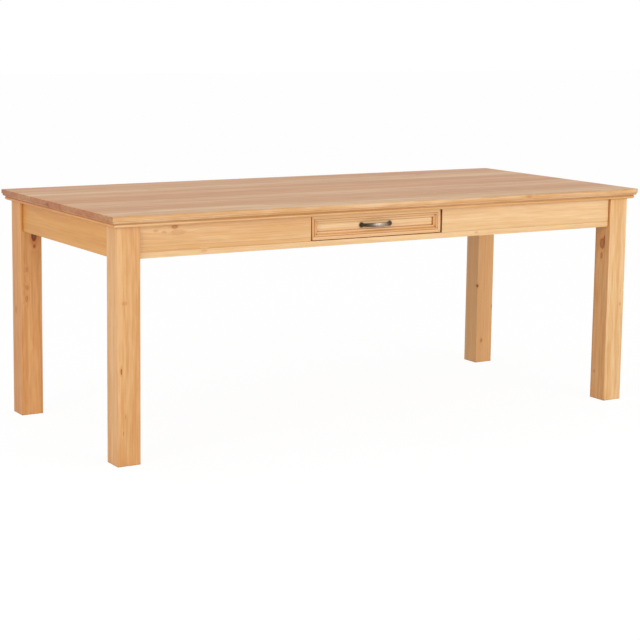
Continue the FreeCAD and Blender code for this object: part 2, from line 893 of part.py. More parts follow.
def bottom_screws(make):
    up = Vector(0, 0, 1)
    return [make(head, up, bottom_screw_length) for head in bottom_screw_places()]


def drawer_bottom(bores):
    """Thin plywood panel, slid into its grooves from behind and screwed up into the back."""
    reach = groove_depth - groove_clearance
    panel = block(
        (side_inner_left - reach, side_inner_right + reach),
        (panel_back_y - reach, side_end_y),
        (bottom_low, bottom_high),
    )
    return cut_by(panel, bores)


def handle_strap():
    """Bowed strap: an arched band seen from above, crossed with its outline seen from the front."""
    half = handle_spacing / 2
    rise = handle_projection - handle_end_rise
    radius = (half * half + rise * rise) / (2 * rise)
    centre_out = handle_projection - radius
    reach = half + handle_end_width / 2
    tall = handle_middle_width

    def arc_point(x, arc_radius):
        return Vector(x, -centre_out - math.sqrt(arc_radius * arc_radius - x * x), -tall)

    inner = radius - handle_strap_thickness
    band = outline(
        arc_point(-reach, radius),
        [
            (arc_point(0, radius), arc_point(reach, radius)),
            arc_point(reach, inner),
            (arc_point(0, inner), arc_point(-reach, inner)),
            arc_point(-reach, radius),
        ],
    )
    arched = Part.Face(band).extrude(Vector(0, 0, 2 * tall))
    low = handle_end_width / 2
    high = handle_middle_width / 2
    face = outline(
        Vector(-half, 0, -low),
        [
            (Vector(0, 0, -high), Vector(half, 0, -low)),
            (Vector(reach, 0, 0), Vector(half, 0, low)),
            (Vector(0, 0, high), Vector(-half, 0, low)),
            (Vector(-reach, 0, 0), Vector(-half, 0, -low)),
        ],
    )
    seen = Part.Face(face).extrude(Vector(0, -handle_projection, 0))
    return arched.common(seen)


def handle_foot():
    """Round rosette with a flat rim, hollowed up to a post in its middle."""
    rim = foot_radius - foot_rim_width
    post_base = handle_end_rise - handle_strap_thickness
    middle_radius = (rim + foot_post_radius) / 2 - foot_hollow
    middle_height = (foot_rim_height + post_base) / 2 - foot_hollow
    wire = outline(
        Vector(0, 0, 0),
        [
            Vector(foot_radius, 0, 0),
            Vector(foot_radius, 0, foot_rim_height),
            Vector(rim, 0, foot_rim_height),
            (
                Vector(middle_radius, 0, middle_height),
                Vector(foot_post_radius, 0, post_base),
            ),
            Vector(0, 0, post_base),
            Vector(0, 0, 0),
        ],
    )
    return Part.Face(wire).revolve(Vector(0, 0, 0), Vector(0, 0, 1), 360)


def drawer_handle():
    """One casting: bowed strap on two rosettes, each with a blind bore for its screw."""
    strap = handle_strap()
    strap.translate(Vector(opening_centre, panel_face_y, front_middle))
    casting = strap
    for centre in handle_feet():
        foot = handle_foot()
        foot.Placement = FreeCAD.Placement(
            centre, FreeCAD.Rotation(Vector(0, 0, 1), Vector(0, -1, 0))
        )
        casting = casting.fuse(foot)
    bore_radius = handle_screw_radius + thread_clearance
    bores = []
    for centre in handle_feet():
        depth = handle_screw_bite + thread_clearance
        bores.append(bar(bore_radius, depth, centre, Vector(0, -1, 0)))
    return casting.removeSplitter().cut(bores)


def handle_screws():
    """Pan-head machine screws put in from inside the drawer."""
    screws = []
    for centre in handle_feet():
        length = panel_thickness + handle_screw_bite
        rings = [
            (handle_screw_crown_radius, -handle_screw_head_height),
            (handle_screw_head_radius, -handle_screw_rim_height),
            (handle_screw_head_radius, 0),
            (handle_screw_radius, 0),
            (handle_screw_radius, length),
        ]
        seat = centre + Vector(0, panel_thickness, 0)
        screws.append(sided(rings, seat, Vector(0, -1, 0), bolt_sides))
    return screws


# ---------------------------------------------------------------- assembly


def table_parts():
    """Everything that stays still."""
    top_bores = bracket_screws(screw_bore) + batten_screws(screw_bore)
    housings = [cross_rail_bar(x) for x in cross_rail_places]
    bores = bolt_bores() + corner_block_screws(screw_bore) + top_bores + housings
    parts = {}
    for index, board in enumerate(top_boards(top_bores)):
        parts[f"top_board_{index + 1}"] = board
    for name, strip in zip(("front", "right", "back", "left"), frame_strips(top_bores)):
        parts[f"top_frame_{name}"] = strip
    corners = ("front_left", "front_right", "back_left", "back_right")
    for name, post in zip(corners, legs(bores)):
        parts[f"leg_{name}"] = post
    parts["apron_front_left"] = front_upper_board((-leg_inner_x, opening_left), bores)
    parts["apron_front_right"] = front_upper_board((opening_right, leg_inner_x), bores)
    parts["apron_front_rail"] = front_rail(bores)
    parts["apron_back"] = back_apron(bores)
    parts["apron_left_end"] = end_apron(-1, bores)
    parts["apron_right_end"] = end_apron(1, bores)
    for name, solid in zip(corners, corner_blocks(bolt_bores())):
        parts[f"corner_block_{name}"] = solid
    for name, x in zip(("left", "right"), cross_rail_places):
        parts[f"cross_rail_{name}"] = cross_rail(x)
    for name, edge, outward in (("left", opening_left, -1), ("right", opening_right, 1)):
        parts[f"drawer_runner_{name}"] = drawer_runner(edge, outward, top_bores)
        parts[f"drawer_guide_{name}"] = drawer_guide(edge, outward, top_bores)
        parts[f"drawer_kicker_{name}"] = drawer_kicker(edge, outward, top_bores)
        parts[f"drawer_stop_{name}"] = drawer_stop(edge, outward)
    parts["drawer_pull_stop"] = drawer_pull_stop(top_bores)
    parts["leg_hanger_bolts"] = hanger_bolts()
    parts["leg_bolt_washers"] = bolt_washers()
    parts["leg_bolt_nuts"] = bolt_nuts()
    parts["corner_block_screws"] = corner_block_screws(wood_screw)
    parts["top_brackets"] = angle_brackets()
    parts["top_bracket_screws"] = bracket_screws(wood_screw)
    parts["batten_screws"] = batten_screws(wood_screw)
    return parts


def drawer_parts():
    """Everything that slides out together."""
    bores = bottom_screws(screw_bore)
    parts = {"drawer_front_panel": drawer_panel()}
    for name, strip in zip(("bottom", "top", "left", "right"), drawer_mouldings()):
        parts[f"drawer_moulding_{name}"] = strip
    left_span = (side_outer_left, side_inner_left)
    right_span = (side_inner_right, side_outer_right)
    parts["drawer_side_left"] = drawer_side(left_span, side_inner_left, 1)
    parts["drawer_side_right"] = drawer_side(right_span, side_inner_right, -1)
    parts["drawer_back"] = drawer_back(bores)
    parts["drawer_bottom"] = drawer_bottom(bores)
    parts["drawer_bottom_screws"] = bottom_screws(wood_screw)
    parts["drawer_handle"] = drawer_handle()
    parts["handle_screws"] = handle_screws()
    return parts


os.makedirs("parts", exist_ok=True)
for node, made in {**table_parts(), **drawer_parts()}.items():
    shape = Part.makeCompound(made) if isinstance(made, list) else made
    shape.exportStep(f"parts/{node}.step")
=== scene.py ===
# %% [markdown]
# # A pine dining table with one drawer
#
# A joiner makes this table from boards: a glued-up top with a moulded edge, four square legs, an apron
# on each side and one drawer behind a mitred moulding. The frame that is loaded here holds every board
# at its real size and place. This lesson gives the boards their finish, and makes the small hardware
# that a plain solid only stands in for.

import json
import math
import random

import bmesh
import bpy
import numpy as np
from mathutils import Matrix, Vector

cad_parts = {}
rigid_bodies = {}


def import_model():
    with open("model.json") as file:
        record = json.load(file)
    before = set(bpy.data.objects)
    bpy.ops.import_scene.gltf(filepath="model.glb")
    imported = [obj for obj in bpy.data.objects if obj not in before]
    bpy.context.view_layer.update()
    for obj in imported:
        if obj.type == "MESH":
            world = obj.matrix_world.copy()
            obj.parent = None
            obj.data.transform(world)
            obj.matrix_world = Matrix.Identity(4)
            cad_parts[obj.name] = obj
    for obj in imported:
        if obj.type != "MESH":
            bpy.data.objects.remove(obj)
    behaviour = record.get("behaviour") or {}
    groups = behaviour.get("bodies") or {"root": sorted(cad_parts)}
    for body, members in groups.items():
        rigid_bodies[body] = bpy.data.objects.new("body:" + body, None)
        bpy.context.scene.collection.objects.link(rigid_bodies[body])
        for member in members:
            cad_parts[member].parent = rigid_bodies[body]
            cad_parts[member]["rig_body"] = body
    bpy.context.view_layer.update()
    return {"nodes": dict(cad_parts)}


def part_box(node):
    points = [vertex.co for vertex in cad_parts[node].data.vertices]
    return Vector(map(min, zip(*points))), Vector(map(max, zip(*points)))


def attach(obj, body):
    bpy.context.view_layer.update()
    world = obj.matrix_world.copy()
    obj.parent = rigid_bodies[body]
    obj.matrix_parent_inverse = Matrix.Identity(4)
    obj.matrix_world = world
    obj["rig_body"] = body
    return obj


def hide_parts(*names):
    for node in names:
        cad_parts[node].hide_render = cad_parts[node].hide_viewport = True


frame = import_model()

# %% [markdown]
# ## The camera
#
# The table is seen from its front left corner, from above the top and nearly six metres away, through a
# long lens, as furniture is often shown. The view is also shifted down a little in the lens, so that the
# camera tilts less and the uprights lean together less.

# %% Place the camera
camera_place = Vector((-3.0463, -4.9109, 1.3332))
camera_yaw = math.radians(31.58)        # turned from +Y towards +X
camera_pitch = math.radians(8.02)       # tilted down
camera_roll = math.radians(0.76)
camera_lens = 96.0
camera_sensor = 36.0
camera_shift = -0.1
camera_sight = 100.0                    # how far the camera sees


def in_scene(name, data):
    """A new object in the scene."""
    made = bpy.data.objects.new(name, data)
    bpy.context.scene.collection.objects.link(made)
    return made


def camera_turn(yaw, pitch, roll):
    """Rotation whose columns are the camera's right, up and backward axes."""
    level = math.cos(pitch)
    forward = Vector((math.sin(yaw) * level, math.cos(yaw) * level, -math.sin(pitch)))
    right = Vector((math.cos(yaw), -math.sin(yaw), 0))
    up = right.cross(forward)
    rolled_right = right * math.cos(roll) + up * math.sin(roll)
    rolled_up = up * math.cos(roll) - right * math.sin(roll)
    return Matrix((rolled_right, rolled_up, -forward)).transposed()


camera_data = bpy.data.cameras.new("camera")
camera_data.lens = camera_lens
camera_data.sensor_width = camera_sensor
camera_data.shift_y = camera_shift
camera_data.clip_end = camera_sight
camera = in_scene("camera", camera_data)
camera.matrix_world = Matrix.Translation(camera_place) @ camera_turn(
    camera_yaw, camera_pitch, camera_roll
).to_4x4()
bpy.context.scene.camera = camera
bpy.context.scene.view_settings.view_transform = "Standard"
print("camera", tuple(round(value, 3) for value in camera.location))

# %% [markdown]
# ## Building node trees
#
# Every finish below is a tree of nodes, and small helpers keep those trees readable. One feeds a node's
# inputs, one adds a node, and the others shorten what comes up all the time: sums, ramps, blends, noise,
# groups and bump.

# %% Helpers for node trees
bump_size = 0.0004


def srgb(red, green, blue):
    """A colour given as 0 to 255 on a screen, as the light values that a shader takes."""
    def light(value):
        share = value / 255
        return share / 12.92 if share <= 0.04045 else ((share + 0.055) / 1.055) ** 2.4
    return (light(red), light(green), light(blue), 1.0)


def feed(tree, node, inputs):
    """Fills a node's inputs, by name or number, each with a value or another node's output."""
    for key, value in inputs.items():
        if isinstance(value, bpy.types.NodeSocket):
            tree.links.new(value, node.inputs[key])
        else:
            node.inputs[key].default_value = value


def add(tree, kind, inputs=None, **settings):
    """A new node with its settings made and its inputs fed."""
    made = tree.nodes.new(kind)
    for name, value in settings.items():
        setattr(made, name, value)
    feed(tree, made, inputs or {})
    return made


def calc(tree, operation, *values):
    """One sum on plain numbers."""
    return add(tree, "ShaderNodeMath", dict(enumerate(values)), operation=operation).outputs[0]


def vector_calc(tree, operation, *values):
    """One sum on vectors."""
    made = add(tree, "ShaderNodeVectorMath", dict(enumerate(values)), operation=operation)
    return made.outputs["Value" if operation in ("LENGTH", "DOT_PRODUCT") else "Vector"]


def ramp(tree, value, low, high, bottom=0.0, top=1.0):
    """A smooth step from bottom to top while the value goes from low to high."""
    inputs = {"Value": value, "From Min": low, "From Max": high, "To Min": bottom, "To Max": top}
    return add(tree, "ShaderNodeMapRange", inputs, interpolation_type="SMOOTHSTEP").outputs["Result"]


def blend_colour(tree, share, first, second, mode="MIX"):
    """Two colours mixed. A colour's inputs and output have these numbers on the node."""
    inputs = {0: share, 6: first, 7: second}
    return add(tree, "ShaderNodeMix", inputs, data_type="RGBA", blend_type=mode).outputs[2]


def noise(tree, place, scale, detail=2.0, roughness=0.5):
    """Noise round 0.5, stretched by a scale for each axis."""
    stretched = vector_calc(tree, "MULTIPLY", place, scale)
    inputs = {"Vector": stretched, "Scale": 1.0, "Detail": detail, "Roughness": roughness}
    return add(tree, "ShaderNodeTexNoise", inputs).outputs["Fac"]


def effect(name, inputs, outputs):
    """An empty shader group with named sockets: its tree, its input node and its output node."""
    tree = bpy.data.node_groups.new(name, "ShaderNodeTree")
    kinds = {float: "NodeSocketFloat", Vector: "NodeSocketVector", tuple: "NodeSocketColor"}
    for label, default in inputs.items():
        made = tree.interface.new_socket(label, in_out="INPUT", socket_type=kinds[type(default)])
        made.default_value = default
    for label, kind in outputs.items():
        tree.interface.new_socket(label, in_out="OUTPUT", socket_type=kinds[kind])
    return tree, tree.nodes.new("NodeGroupInput"), tree.nodes.new("NodeGroupOutput")


def use(tree, group, inputs):
    """One effect group placed in a tree: its outputs."""
    return add(tree, "ShaderNodeGroup", inputs, node_tree=group).outputs


def object_place(tree):
    """Where a point lies, in the space of the whole table."""
    return add(tree, "ShaderNodeTexCoord").outputs["Object"]


def attribute(tree, name, output="Fac"):
    """A value that the mesh carries."""
    return add(tree, "ShaderNodeAttribute", attribute_name=name).outputs[output]


def bump(tree, height, strength, size=bump_size):
    """Small relief, as a normal for a shader."""
    inputs = {"Height": height, "Strength": strength, "Distance": size}
    return add(tree, "ShaderNodeBump", inputs).outputs["Normal"]


def new_finish(name):
    """A material with its tree and its Principled shader."""
    finish = bpy.data.materials.new(name)
    finish.use_nodes = True
    tree = finish.node_tree
    return finish, tree, tree.nodes["Principled BSDF"]


# %% [markdown]
# ## A plain studio
#
# Furniture like this stands on a pale sheet under large soft lamps. The lamps stay at a plain level, so
# that a colour comes out about as it is written. The sheet and the world look white to the camera and in
# reflections because those rays are told so, and not because more light falls on the wood.

# %% Lay the floor and hang the lamps
floor_reach = 30.0
floor_paper = srgb(236, 235, 233)
floor_shadow = 0.1                      # how much of the lit floor the camera sees
paper_white = 1.04                      # makes the lit floor meet the white behind it
sky_level = 0.65
white = (1, 1, 1, 1)
lamp_aim = Vector((0, 0, 0.5))

# Place, size and power
lamps = {
    "front lamp": ((1.8, -4.6, 1.4), 2.2, 79),
    "left lamp": ((-4.2, -2.0, 1.8), 1.6, 51),
}


def sees_white(tree):
    """1 for rays from the camera, from gloss and through glass."""
    path = add(tree, "ShaderNodeLightPath").outputs
    seen = calc(tree, "MAXIMUM", path["Is Camera Ray"], path["Is Glossy Ray"])
    return calc(tree, "MAXIMUM", seen, path["Is Transmission Ray"])


def make_floor():
    mesh = bpy.data.meshes.new("floor")
    corners = [(-1, -1), (1, -1), (1, 1), (-1, 1)]
    mesh.from_pydata([(x * floor_reach, y * floor_reach, 0) for x, y in corners], [], [(0, 1, 2, 3)])
    finish, tree, shader = new_finish("pale paper")
    feed(tree, shader, {"Base Color": floor_paper, "Roughness": 0.9, "Specular IOR Level": 0.0})
    glow = add(tree, "ShaderNodeEmission", {"Color": white, "Strength": paper_white})
    share = calc(tree, "MULTIPLY", sees_white(tree), 1 - floor_shadow)
    mixed = add(tree, "ShaderNodeMixShader", {0: share, 1: shader.outputs[0], 2: glow.outputs[0]})
    feed(tree, tree.nodes["Material Output"], {"Surface": mixed.outputs[0]})
    mesh.materials.append(finish)
    in_scene("floor", mesh)


def make_world():
    world = bpy.data.worlds.new("studio")
    world.use_nodes = True
    tree = world.node_tree
    lift = calc(tree, "MULTIPLY", sees_white(tree), 1 - sky_level)
    strength = calc(tree, "ADD", lift, sky_level)
    feed(tree, tree.nodes["Background"], {"Color": white, "Strength": strength})
    bpy.context.scene.world = world


def hang_lamp(name, place, size, power):
    """A square soft lamp aimed at the table."""
    data = bpy.data.lights.new(name, "AREA")
    data.size = size
    data.energy = power
    way = lamp_aim - Vector(place)
    turn = way.to_track_quat("-Z", "Y").to_matrix().to_4x4()
    in_scene(name, data).matrix_world = Matrix.Translation(place) @ turn


make_floor()
make_world()
for name, (place, size, power) in lamps.items():
    hang_lamp(name, place, size, power)

# %% [markdown]
# ## Growth rings
#
# Sawn pine shows its growth rings. Each ring is pale wood that slowly turns to a thin, darker late band
# and then stops sharply. The rings are tubes round the pith of the tree, so one solid pattern gives
# straight lines on one face, arches on another and arcs on sawn ends, as real timber does. The group
# works in a board's own grain space: along the grain, across it, and in depth, in metres from the pith.
# Knots push the rings aside, so their pull is an input.

# %% Make the ring group
ring_width = 0.0055
ring_wander = 0.005                     # how far the rings sway from true tubes
ring_ripple = 0.0016                    # a smaller, quicker sway
ring_unevenness = 3.0                   # pushes the count about: some rings are wide and some narrow

# How often a pattern changes, per metre along the grain, across it and in depth
year_pace = (55, 1, 1)                  # this one outwards from the pith
sway_pace = (1.1, 9, 9)
ripple_pace = (7, 60, 60)
fibre_pace = (9, 520, 520)
patch_pace = (1.2, 34, 34)
streak_pace = (11, 120, 120)
pore_pace = (14, 900, 900)
patch_share = 0.62                      # the rest of the broad pattern is streaks


def make_rings():
    inputs = {"Grain": Vector((0, 0, 0)), "Ring": ring_width, "Wander": ring_wander, "Pull": 0.0}
    outputs = {"Late": float, "Fibre": float, "Broad": float, "Pores": float}
    tree, given, result = effect("growth rings", inputs, outputs)
    grain = given.outputs["Grain"]
    across = vector_calc(tree, "MULTIPLY", grain, (0, 1, 1))
    from_pith = vector_calc(tree, "LENGTH", across)
    slow = calc(tree, "SUBTRACT", noise(tree, grain, sway_pace), 0.5)
    quick = calc(tree, "SUBTRACT", noise(tree, grain, ripple_pace), 0.5)
    swing = calc(tree, "MULTIPLY", slow, calc(tree, "MULTIPLY", given.outputs["Wander"], 4.0))
    ripple = calc(tree, "MULTIPLY", quick, ring_ripple)
    radius = calc(tree, "ADD", calc(tree, "ADD", from_pith, swing), ripple)
    radius = calc(tree, "ADD", radius, given.outputs["Pull"])
    line = add(tree, "ShaderNodeCombineXYZ", {0: radius}).outputs[0]
    uneven = calc(tree, "MULTIPLY", noise(tree, line, year_pace, 1.0), ring_unevenness)
    count = calc(tree, "ADD", calc(tree, "DIVIDE", radius, given.outputs["Ring"]), uneven)
    year = calc(tree, "FLOOR", count)
    part = calc(tree, "FRACT", count)
    growing = ramp(tree, part, 0.15, 0.85)
    stopping = ramp(tree, part, 0.88, 1.0, 1.0, 0.0)
    chance = add(tree, "ShaderNodeTexWhiteNoise", {"W": year}, noise_dimensions="1D")
    strong = ramp(tree, chance.outputs["Value"], 0.0, 1.0, 0.2, 1.0)
    late = calc(tree, "MULTIPLY", calc(tree, "MULTIPLY", growing, stopping), strong)
    fibre = noise(tree, grain, fibre_pace, 3.0, 0.6)
    patches = calc(tree, "MULTIPLY", noise(tree, grain, patch_pace), patch_share)
    streaks = calc(tree, "MULTIPLY", noise(tree, grain, streak_pace), 1 - patch_share)
    broad = calc(tree, "ADD", patches, streaks)
    pores = ramp(tree, noise(tree, grain, pore_pace, 1.0), 0.66, 0.78)
    feed(tree, result, {"Late": late, "Fibre": fibre, "Broad": broad, "Pores": pores})
    return tree


growth_rings = make_rings()
ring_outputs = [item.name for item in growth_rings.interface.items_tree if item.in_out == "OUTPUT"]
print("group", growth_rings.name, "gives", ring_outputs)

# %% [markdown]
# ## Knots
#
# A knot is a branch cut through. It is brown and darker towards its rim, with fine year rings of its own,
# a faint halo lies round it, and the board's rings flow past it. Each one is a stretched ball in the
# table's own space: inside it the colour is the knot's, and round it the pull swells the rings. The edge
# is roughened with noise, because no knot is round.

# %% Make the knot group
knot_pull = 0.011
knot_pull_fall = -0.22                  # how fast the pull fades outwards
knot_years = 4.5                        # year rings from the knot's middle to its edge
knot_raggedness = 0.7
ragged_pace = (150, 150, 90)


def make_knot():
    inputs = {"Place": Vector((0, 0, 0)), "Centre": Vector((0, 0, 0)), "Size": Vector((1, 1, 1))}
    tree, given, result = effect("knot", inputs, {"Heart": float, "Pull": float, "Halo": float})
    place = given.outputs["Place"]
    apart = vector_calc(tree, "SUBTRACT", place, given.outputs["Centre"])
    scaled = vector_calc(tree, "DIVIDE", apart, given.outputs["Size"])
    ragged = calc(tree, "SUBTRACT", noise(tree, place, ragged_pace), 0.5)
    ragged = calc(tree, "MULTIPLY", ragged, knot_raggedness)
    away = calc(tree, "ADD", vector_calc(tree, "LENGTH", scaled), ragged)
    inside = ramp(tree, away, 0.75, 1.15, 1.0, 0.0)
    core = ramp(tree, away, 0.25, 0.95, 0.6, 1.0)
    years = calc(tree, "FRACT", calc(tree, "MULTIPLY", away, knot_years))
    banded = calc(tree, "MULTIPLY", core, ramp(tree, years, 0.2, 0.9, 0.78, 1.0))
    heart = calc(tree, "MULTIPLY", inside, banded)
    fall = calc(tree, "MULTIPLY", calc(tree, "POWER", away, 2.0), knot_pull_fall)
    pull = calc(tree, "MULTIPLY", calc(tree, "EXPONENT", fall), knot_pull)
    halo = ramp(tree, away, 0.6, 2.6, 1.0, 0.0)
    feed(tree, result, {"Heart": heart, "Pull": pull, "Halo": halo})
    return tree


knot = make_knot()

# Centre, reach along X, Y and Z, and how dark. Nearly all of them reach 30 mm into the wood.
leg_knots = [
    ((-0.952, -0.415, 0.490), (0.009, 0.030, 0.0055), 0.12),
    ((-0.963, -0.415, 0.289), (0.0022, 0.030, 0.010), 0.7),
    ((-0.956, -0.415, 0.101), (0.001, 0.030, 0.006), 0.3),
    ((-0.949, -0.415, 0.151), (0.001, 0.030, 0.006), 0.3),
    ((-0.927, 0.340, 0.602), (0.009, 0.030, 0.019), 0.9),
    ((-0.926, 0.340, 0.567), (0.004, 0.030, 0.006), 0.6),
    ((-0.953, 0.340, 0.490), (0.005, 0.030, 0.009), 0.12),
    ((-0.953, 0.340, 0.430), (0.007, 0.030, 0.008), 0.16),
    ((-0.955, 0.340, 0.393), (0.006, 0.030, 0.010), 0.18),
    ((-0.975, 0.385, 0.352), (0.030, 0.008, 0.011), 0.16),
    ((0.900, -0.378, 0.556), (0.030, 0.013, 0.020), 0.45),
    ((0.900, -0.388, 0.566), (0.030, 0.004, 0.020), 0.65),
    ((0.900, -0.376, 0.513), (0.030, 0.006, 0.012), 0.35),
    ((0.900, -0.360, 0.097), (0.030, 0.004, 0.006), 0.2),
    ((0.959, -0.415, 0.342), (0.004, 0.030, 0.007), 0.18),
    ((0.901, 0.341, 0.303), (0.0035, 0.006, 0.005), 0.8),
    ((0.925, 0.340, 0.086), (0.005, 0.030, 0.008), 0.25),
    ((0.974, 0.340, 0.217), (0.004, 0.030, 0.009), 0.35),
    ((0.975, -0.372, 0.431), (0.030, 0.007, 0.010), 0.45),
    ((-0.935, 0.415, 0.233), (0.008, 0.030, 0.012), 0.4),
]
apron_knots = [
    ((-0.784, -0.405, 0.707), (0.010, 0.030, 0.0055), 0.3),
    ((-0.773, -0.405, 0.690), (0.026, 0.030, 0.009), 0.08),
    ((-0.845, -0.405, 0.698), (0.008, 0.030, 0.0035), 0.14),
    ((-0.819, -0.405, 0.693), (0.008, 0.030, 0.0035), 0.14),
    ((-0.685, -0.405, 0.630), (0.010, 0.030, 0.004), 0.12),
    ((0.330, -0.405, 0.629), (0.008, 0.030, 0.003), 0.12),
    ((0.965, 0.095, 0.660), (0.030, 0.013, 0.008), 0.45),
    ((0.410, 0.405, 0.673), (0.014, 0.030, 0.009), 0.5),
    ((-0.520, 0.405, 0.690), (0.009, 0.030, 0.005), 0.3),
]
top_knots = [
    ((-1.000, 0.050, 0.737), (0.030, 0.011, 0.006), 0.4),
    ((-0.560, 0.205, 0.750), (0.013, 0.009, 0.030), 0.13),
    ((0.240, -0.250, 0.750), (0.010, 0.006, 0.030), 0.11),
    ((0.610, 0.330, 0.750), (0.014, 0.009, 0.030), 0.15),
    ((0.520, -0.440, 0.742), (0.010, 0.030, 0.004), 0.13),
]
print("knots", len(leg_knots) + len(apron_knots) + len(top_knots))

# %% [markdown]
# ## Pine
#
# The boards in view are oiled and waxed, so they have a soft satin sheen, and the wood under it is honey
# coloured. One recipe serves them all: rings and fibres give the lines, a board's own tone makes it deeper
# or paler than its neighbours, and sawn ends drink more oil and come out browner. The fibres also break up
# the sheen. A figure says how wide a finish's rings are, how strongly its lines and patches show, and
# which stain lies over it.
#
# Halos, knots, and the grime and painted shade in corners go on as glazes. A glaze is a tint raised to the
# power of its share: at 0 it leaves the wood as it is, and at 1 it colours it fully.

# %% Mix the pine recipe
pale_wood = srgb(239, 205, 156)
late_wood = srgb(215, 165, 98)
knot_tint = srgb(124, 75, 39)
halo_tint = srgb(236, 204, 160)
deep_tint = srgb(237, 196, 143)         # a board at tone -1 is multiplied by this
end_tint = srgb(213, 188, 168)
broad_span = (0.36, 0.64)               # the broad pattern goes from none to full between these
fibre_span = (0.3, 0.7)
fibre_relief = 1.4                      # height of the fibres next to that of the late wood
pore_depth = 0.10                       # how much darker a pore is
coat_roughness = 0.35
# Corners that ambient occlusion finds closed in are darkened: this is painted shade, and partly grime
grime_and_shade_tint = srgb(176, 124, 78)
grime_and_shade_reach = 0.006
open_enough = 0.85                      # corners more open than this get neither grime nor painted shade
grime_and_shade_fade = 0.55                       # and ones this much less open get the full grime and painted shade


def make_pine_colour():
    inputs = {"Late": 0.0, "Fibre": 0.5, "Broad": 0.5, "Pores": 0.0, "Tone": 0.0, "End": 0.0}
    inputs.update({"Lines": 0.6, "Patches": 0.7, "Stain": white})
    tree, given, result = effect("pine colour", inputs, {"Colour": tuple, "Height": float})
    given = given.outputs
    late = calc(tree, "MULTIPLY", given["Late"], given["Lines"])
    drift = calc(tree, "MULTIPLY", ramp(tree, given["Broad"], *broad_span), given["Patches"])
    share = add(tree, "ShaderNodeClamp", {0: calc(tree, "ADD", late, drift)}).outputs[0]
    colour = blend_colour(tree, share, pale_wood, late_wood)
    colour = blend_colour(tree, 1.0, colour, given["Stain"], "MULTIPLY")
    grey = ramp(tree, given["Fibre"], *fibre_span, 0.94, 1.04)
    grey = calc(tree, "SUBTRACT", grey, calc(tree, "MULTIPLY", given["Pores"], pore_depth))
    shade = add(tree, "ShaderNodeCombineColor", {0: grey, 1: grey, 2: grey}).outputs[0]
    colour = blend_colour(tree, 1.0, colour, shade, "MULTIPLY")
    deeper = calc(tree, "MULTIPLY", given["Tone"], -1.0)
    colour = blend_colour(tree, deeper, colour, blend_colour(tree, 1.0, colour, deep_tint, "MULTIPLY"))
    browner = blend_colour(tree, 1.0, colour, end_tint, "MULTIPLY")
    colour = blend_colour(tree, given["End"], colour, browner)
    height = calc(tree, "ADD", given["Late"], calc(tree, "MULTIPLY", given["Fibre"], fibre_relief))
    feed(tree, result, {"Colour": colour, "Height": height})
    return tree


pine_colour = make_pine_colour()

plain_figure = {"Ring": ring_width, "Wander": ring_wander, "Lines": 0.6, "Patches": 0.6, "Stain": white}
leg_figure = {**plain_figure, "Ring": 0.009, "Lines": 0.28, "Patches": 0.8}
pale_leg_figure = {**leg_figure, "Patches": 0.25, "Stain": srgb(255, 246, 232)}
apron_figure = {**plain_figure, "Lines": 0.5, "Patches": 0.65}
calm_figure = {**plain_figure, "Lines": 0.35, "Patches": 0.45}
end_figure = {**calm_figure, "Stain": srgb(254, 254, 222)}
drawer_figure = {**plain_figure, "Lines": 0.5, "Patches": 0.3}
top_figure = {**plain_figure, "Ring": 0.007, "Lines": 1.0, "Patches": 0.95, "Stain": srgb(252, 249, 255)}


def make_pine(name, rough, knots=(), figure=plain_figure, coat=0.15, grime=0.7, clean_and_unshaded_openness=open_enough):
    """One pine finish: rings, fibres, knots, tone, grime and painted shade in its corners, and sheen."""
    finish, tree, shader = new_finish(name)
    grain = attribute(tree, "grain", "Vector")
    place = object_place(tree)
    pull = 0.0
    heart = 0.0
    halo = 0.0
    for centre, size, dark in knots:
        here = use(tree, knot, {"Place": place, "Centre": centre, "Size": size})
        pull = calc(tree, "ADD", pull, here["Pull"])
        heart = calc(tree, "MAXIMUM", heart, calc(tree, "MULTIPLY", here["Heart"], dark))
        halo = calc(tree, "MAXIMUM", halo, calc(tree, "MULTIPLY", here["Halo"], dark))
    inputs = {key: figure[key] for key in ("Ring", "Wander")}
    rings = use(tree, growth_rings, {**inputs, "Grain": grain, "Pull": pull})
    inputs = {key: rings[key] for key in ("Late", "Fibre", "Broad", "Pores")}
    inputs.update({key: figure[key] for key in ("Lines", "Patches", "Stain")})
    inputs.update({"Tone": attribute(tree, "tone"), "End": attribute(tree, "end")})
    wood = use(tree, pine_colour, inputs)
    colour = wood["Colour"]
    # Ambient occlusion darkens closed-in corners: painted shade, and partly the grime that gathers there
    open_air = add(tree, "ShaderNodeAmbientOcclusion", {"Distance": grime_and_shade_reach}, samples=8)
    grime_and_shade_share = ramp(tree, open_air.outputs["AO"], clean_and_unshaded_openness - grime_and_shade_fade, clean_and_unshaded_openness, grime, 0.0)
    for share, tint in ((halo, halo_tint), (heart, knot_tint), (grime_and_shade_share, grime_and_shade_tint)):
        glaze = add(tree, "ShaderNodeGamma", {"Color": tint, "Gamma": share}).outputs[0]
        colour = blend_colour(tree, 1.0, colour, glaze, "MULTIPLY")
    dull = ramp(tree, rings["Fibre"], *fibre_span, rough - 0.05, rough + 0.07)
    feed(tree, shader, {"Base Color": colour, "Roughness": dull, "Normal": bump(tree, wood["Height"], 0.35)})
    feed(tree, shader, {"Coat Weight": coat, "Coat Roughness": coat_roughness})
    return finish


rim_clean_and_unshaded_openness = 0.97                        # the lines under the rim are shallow, so grime and painted shade need less cover there
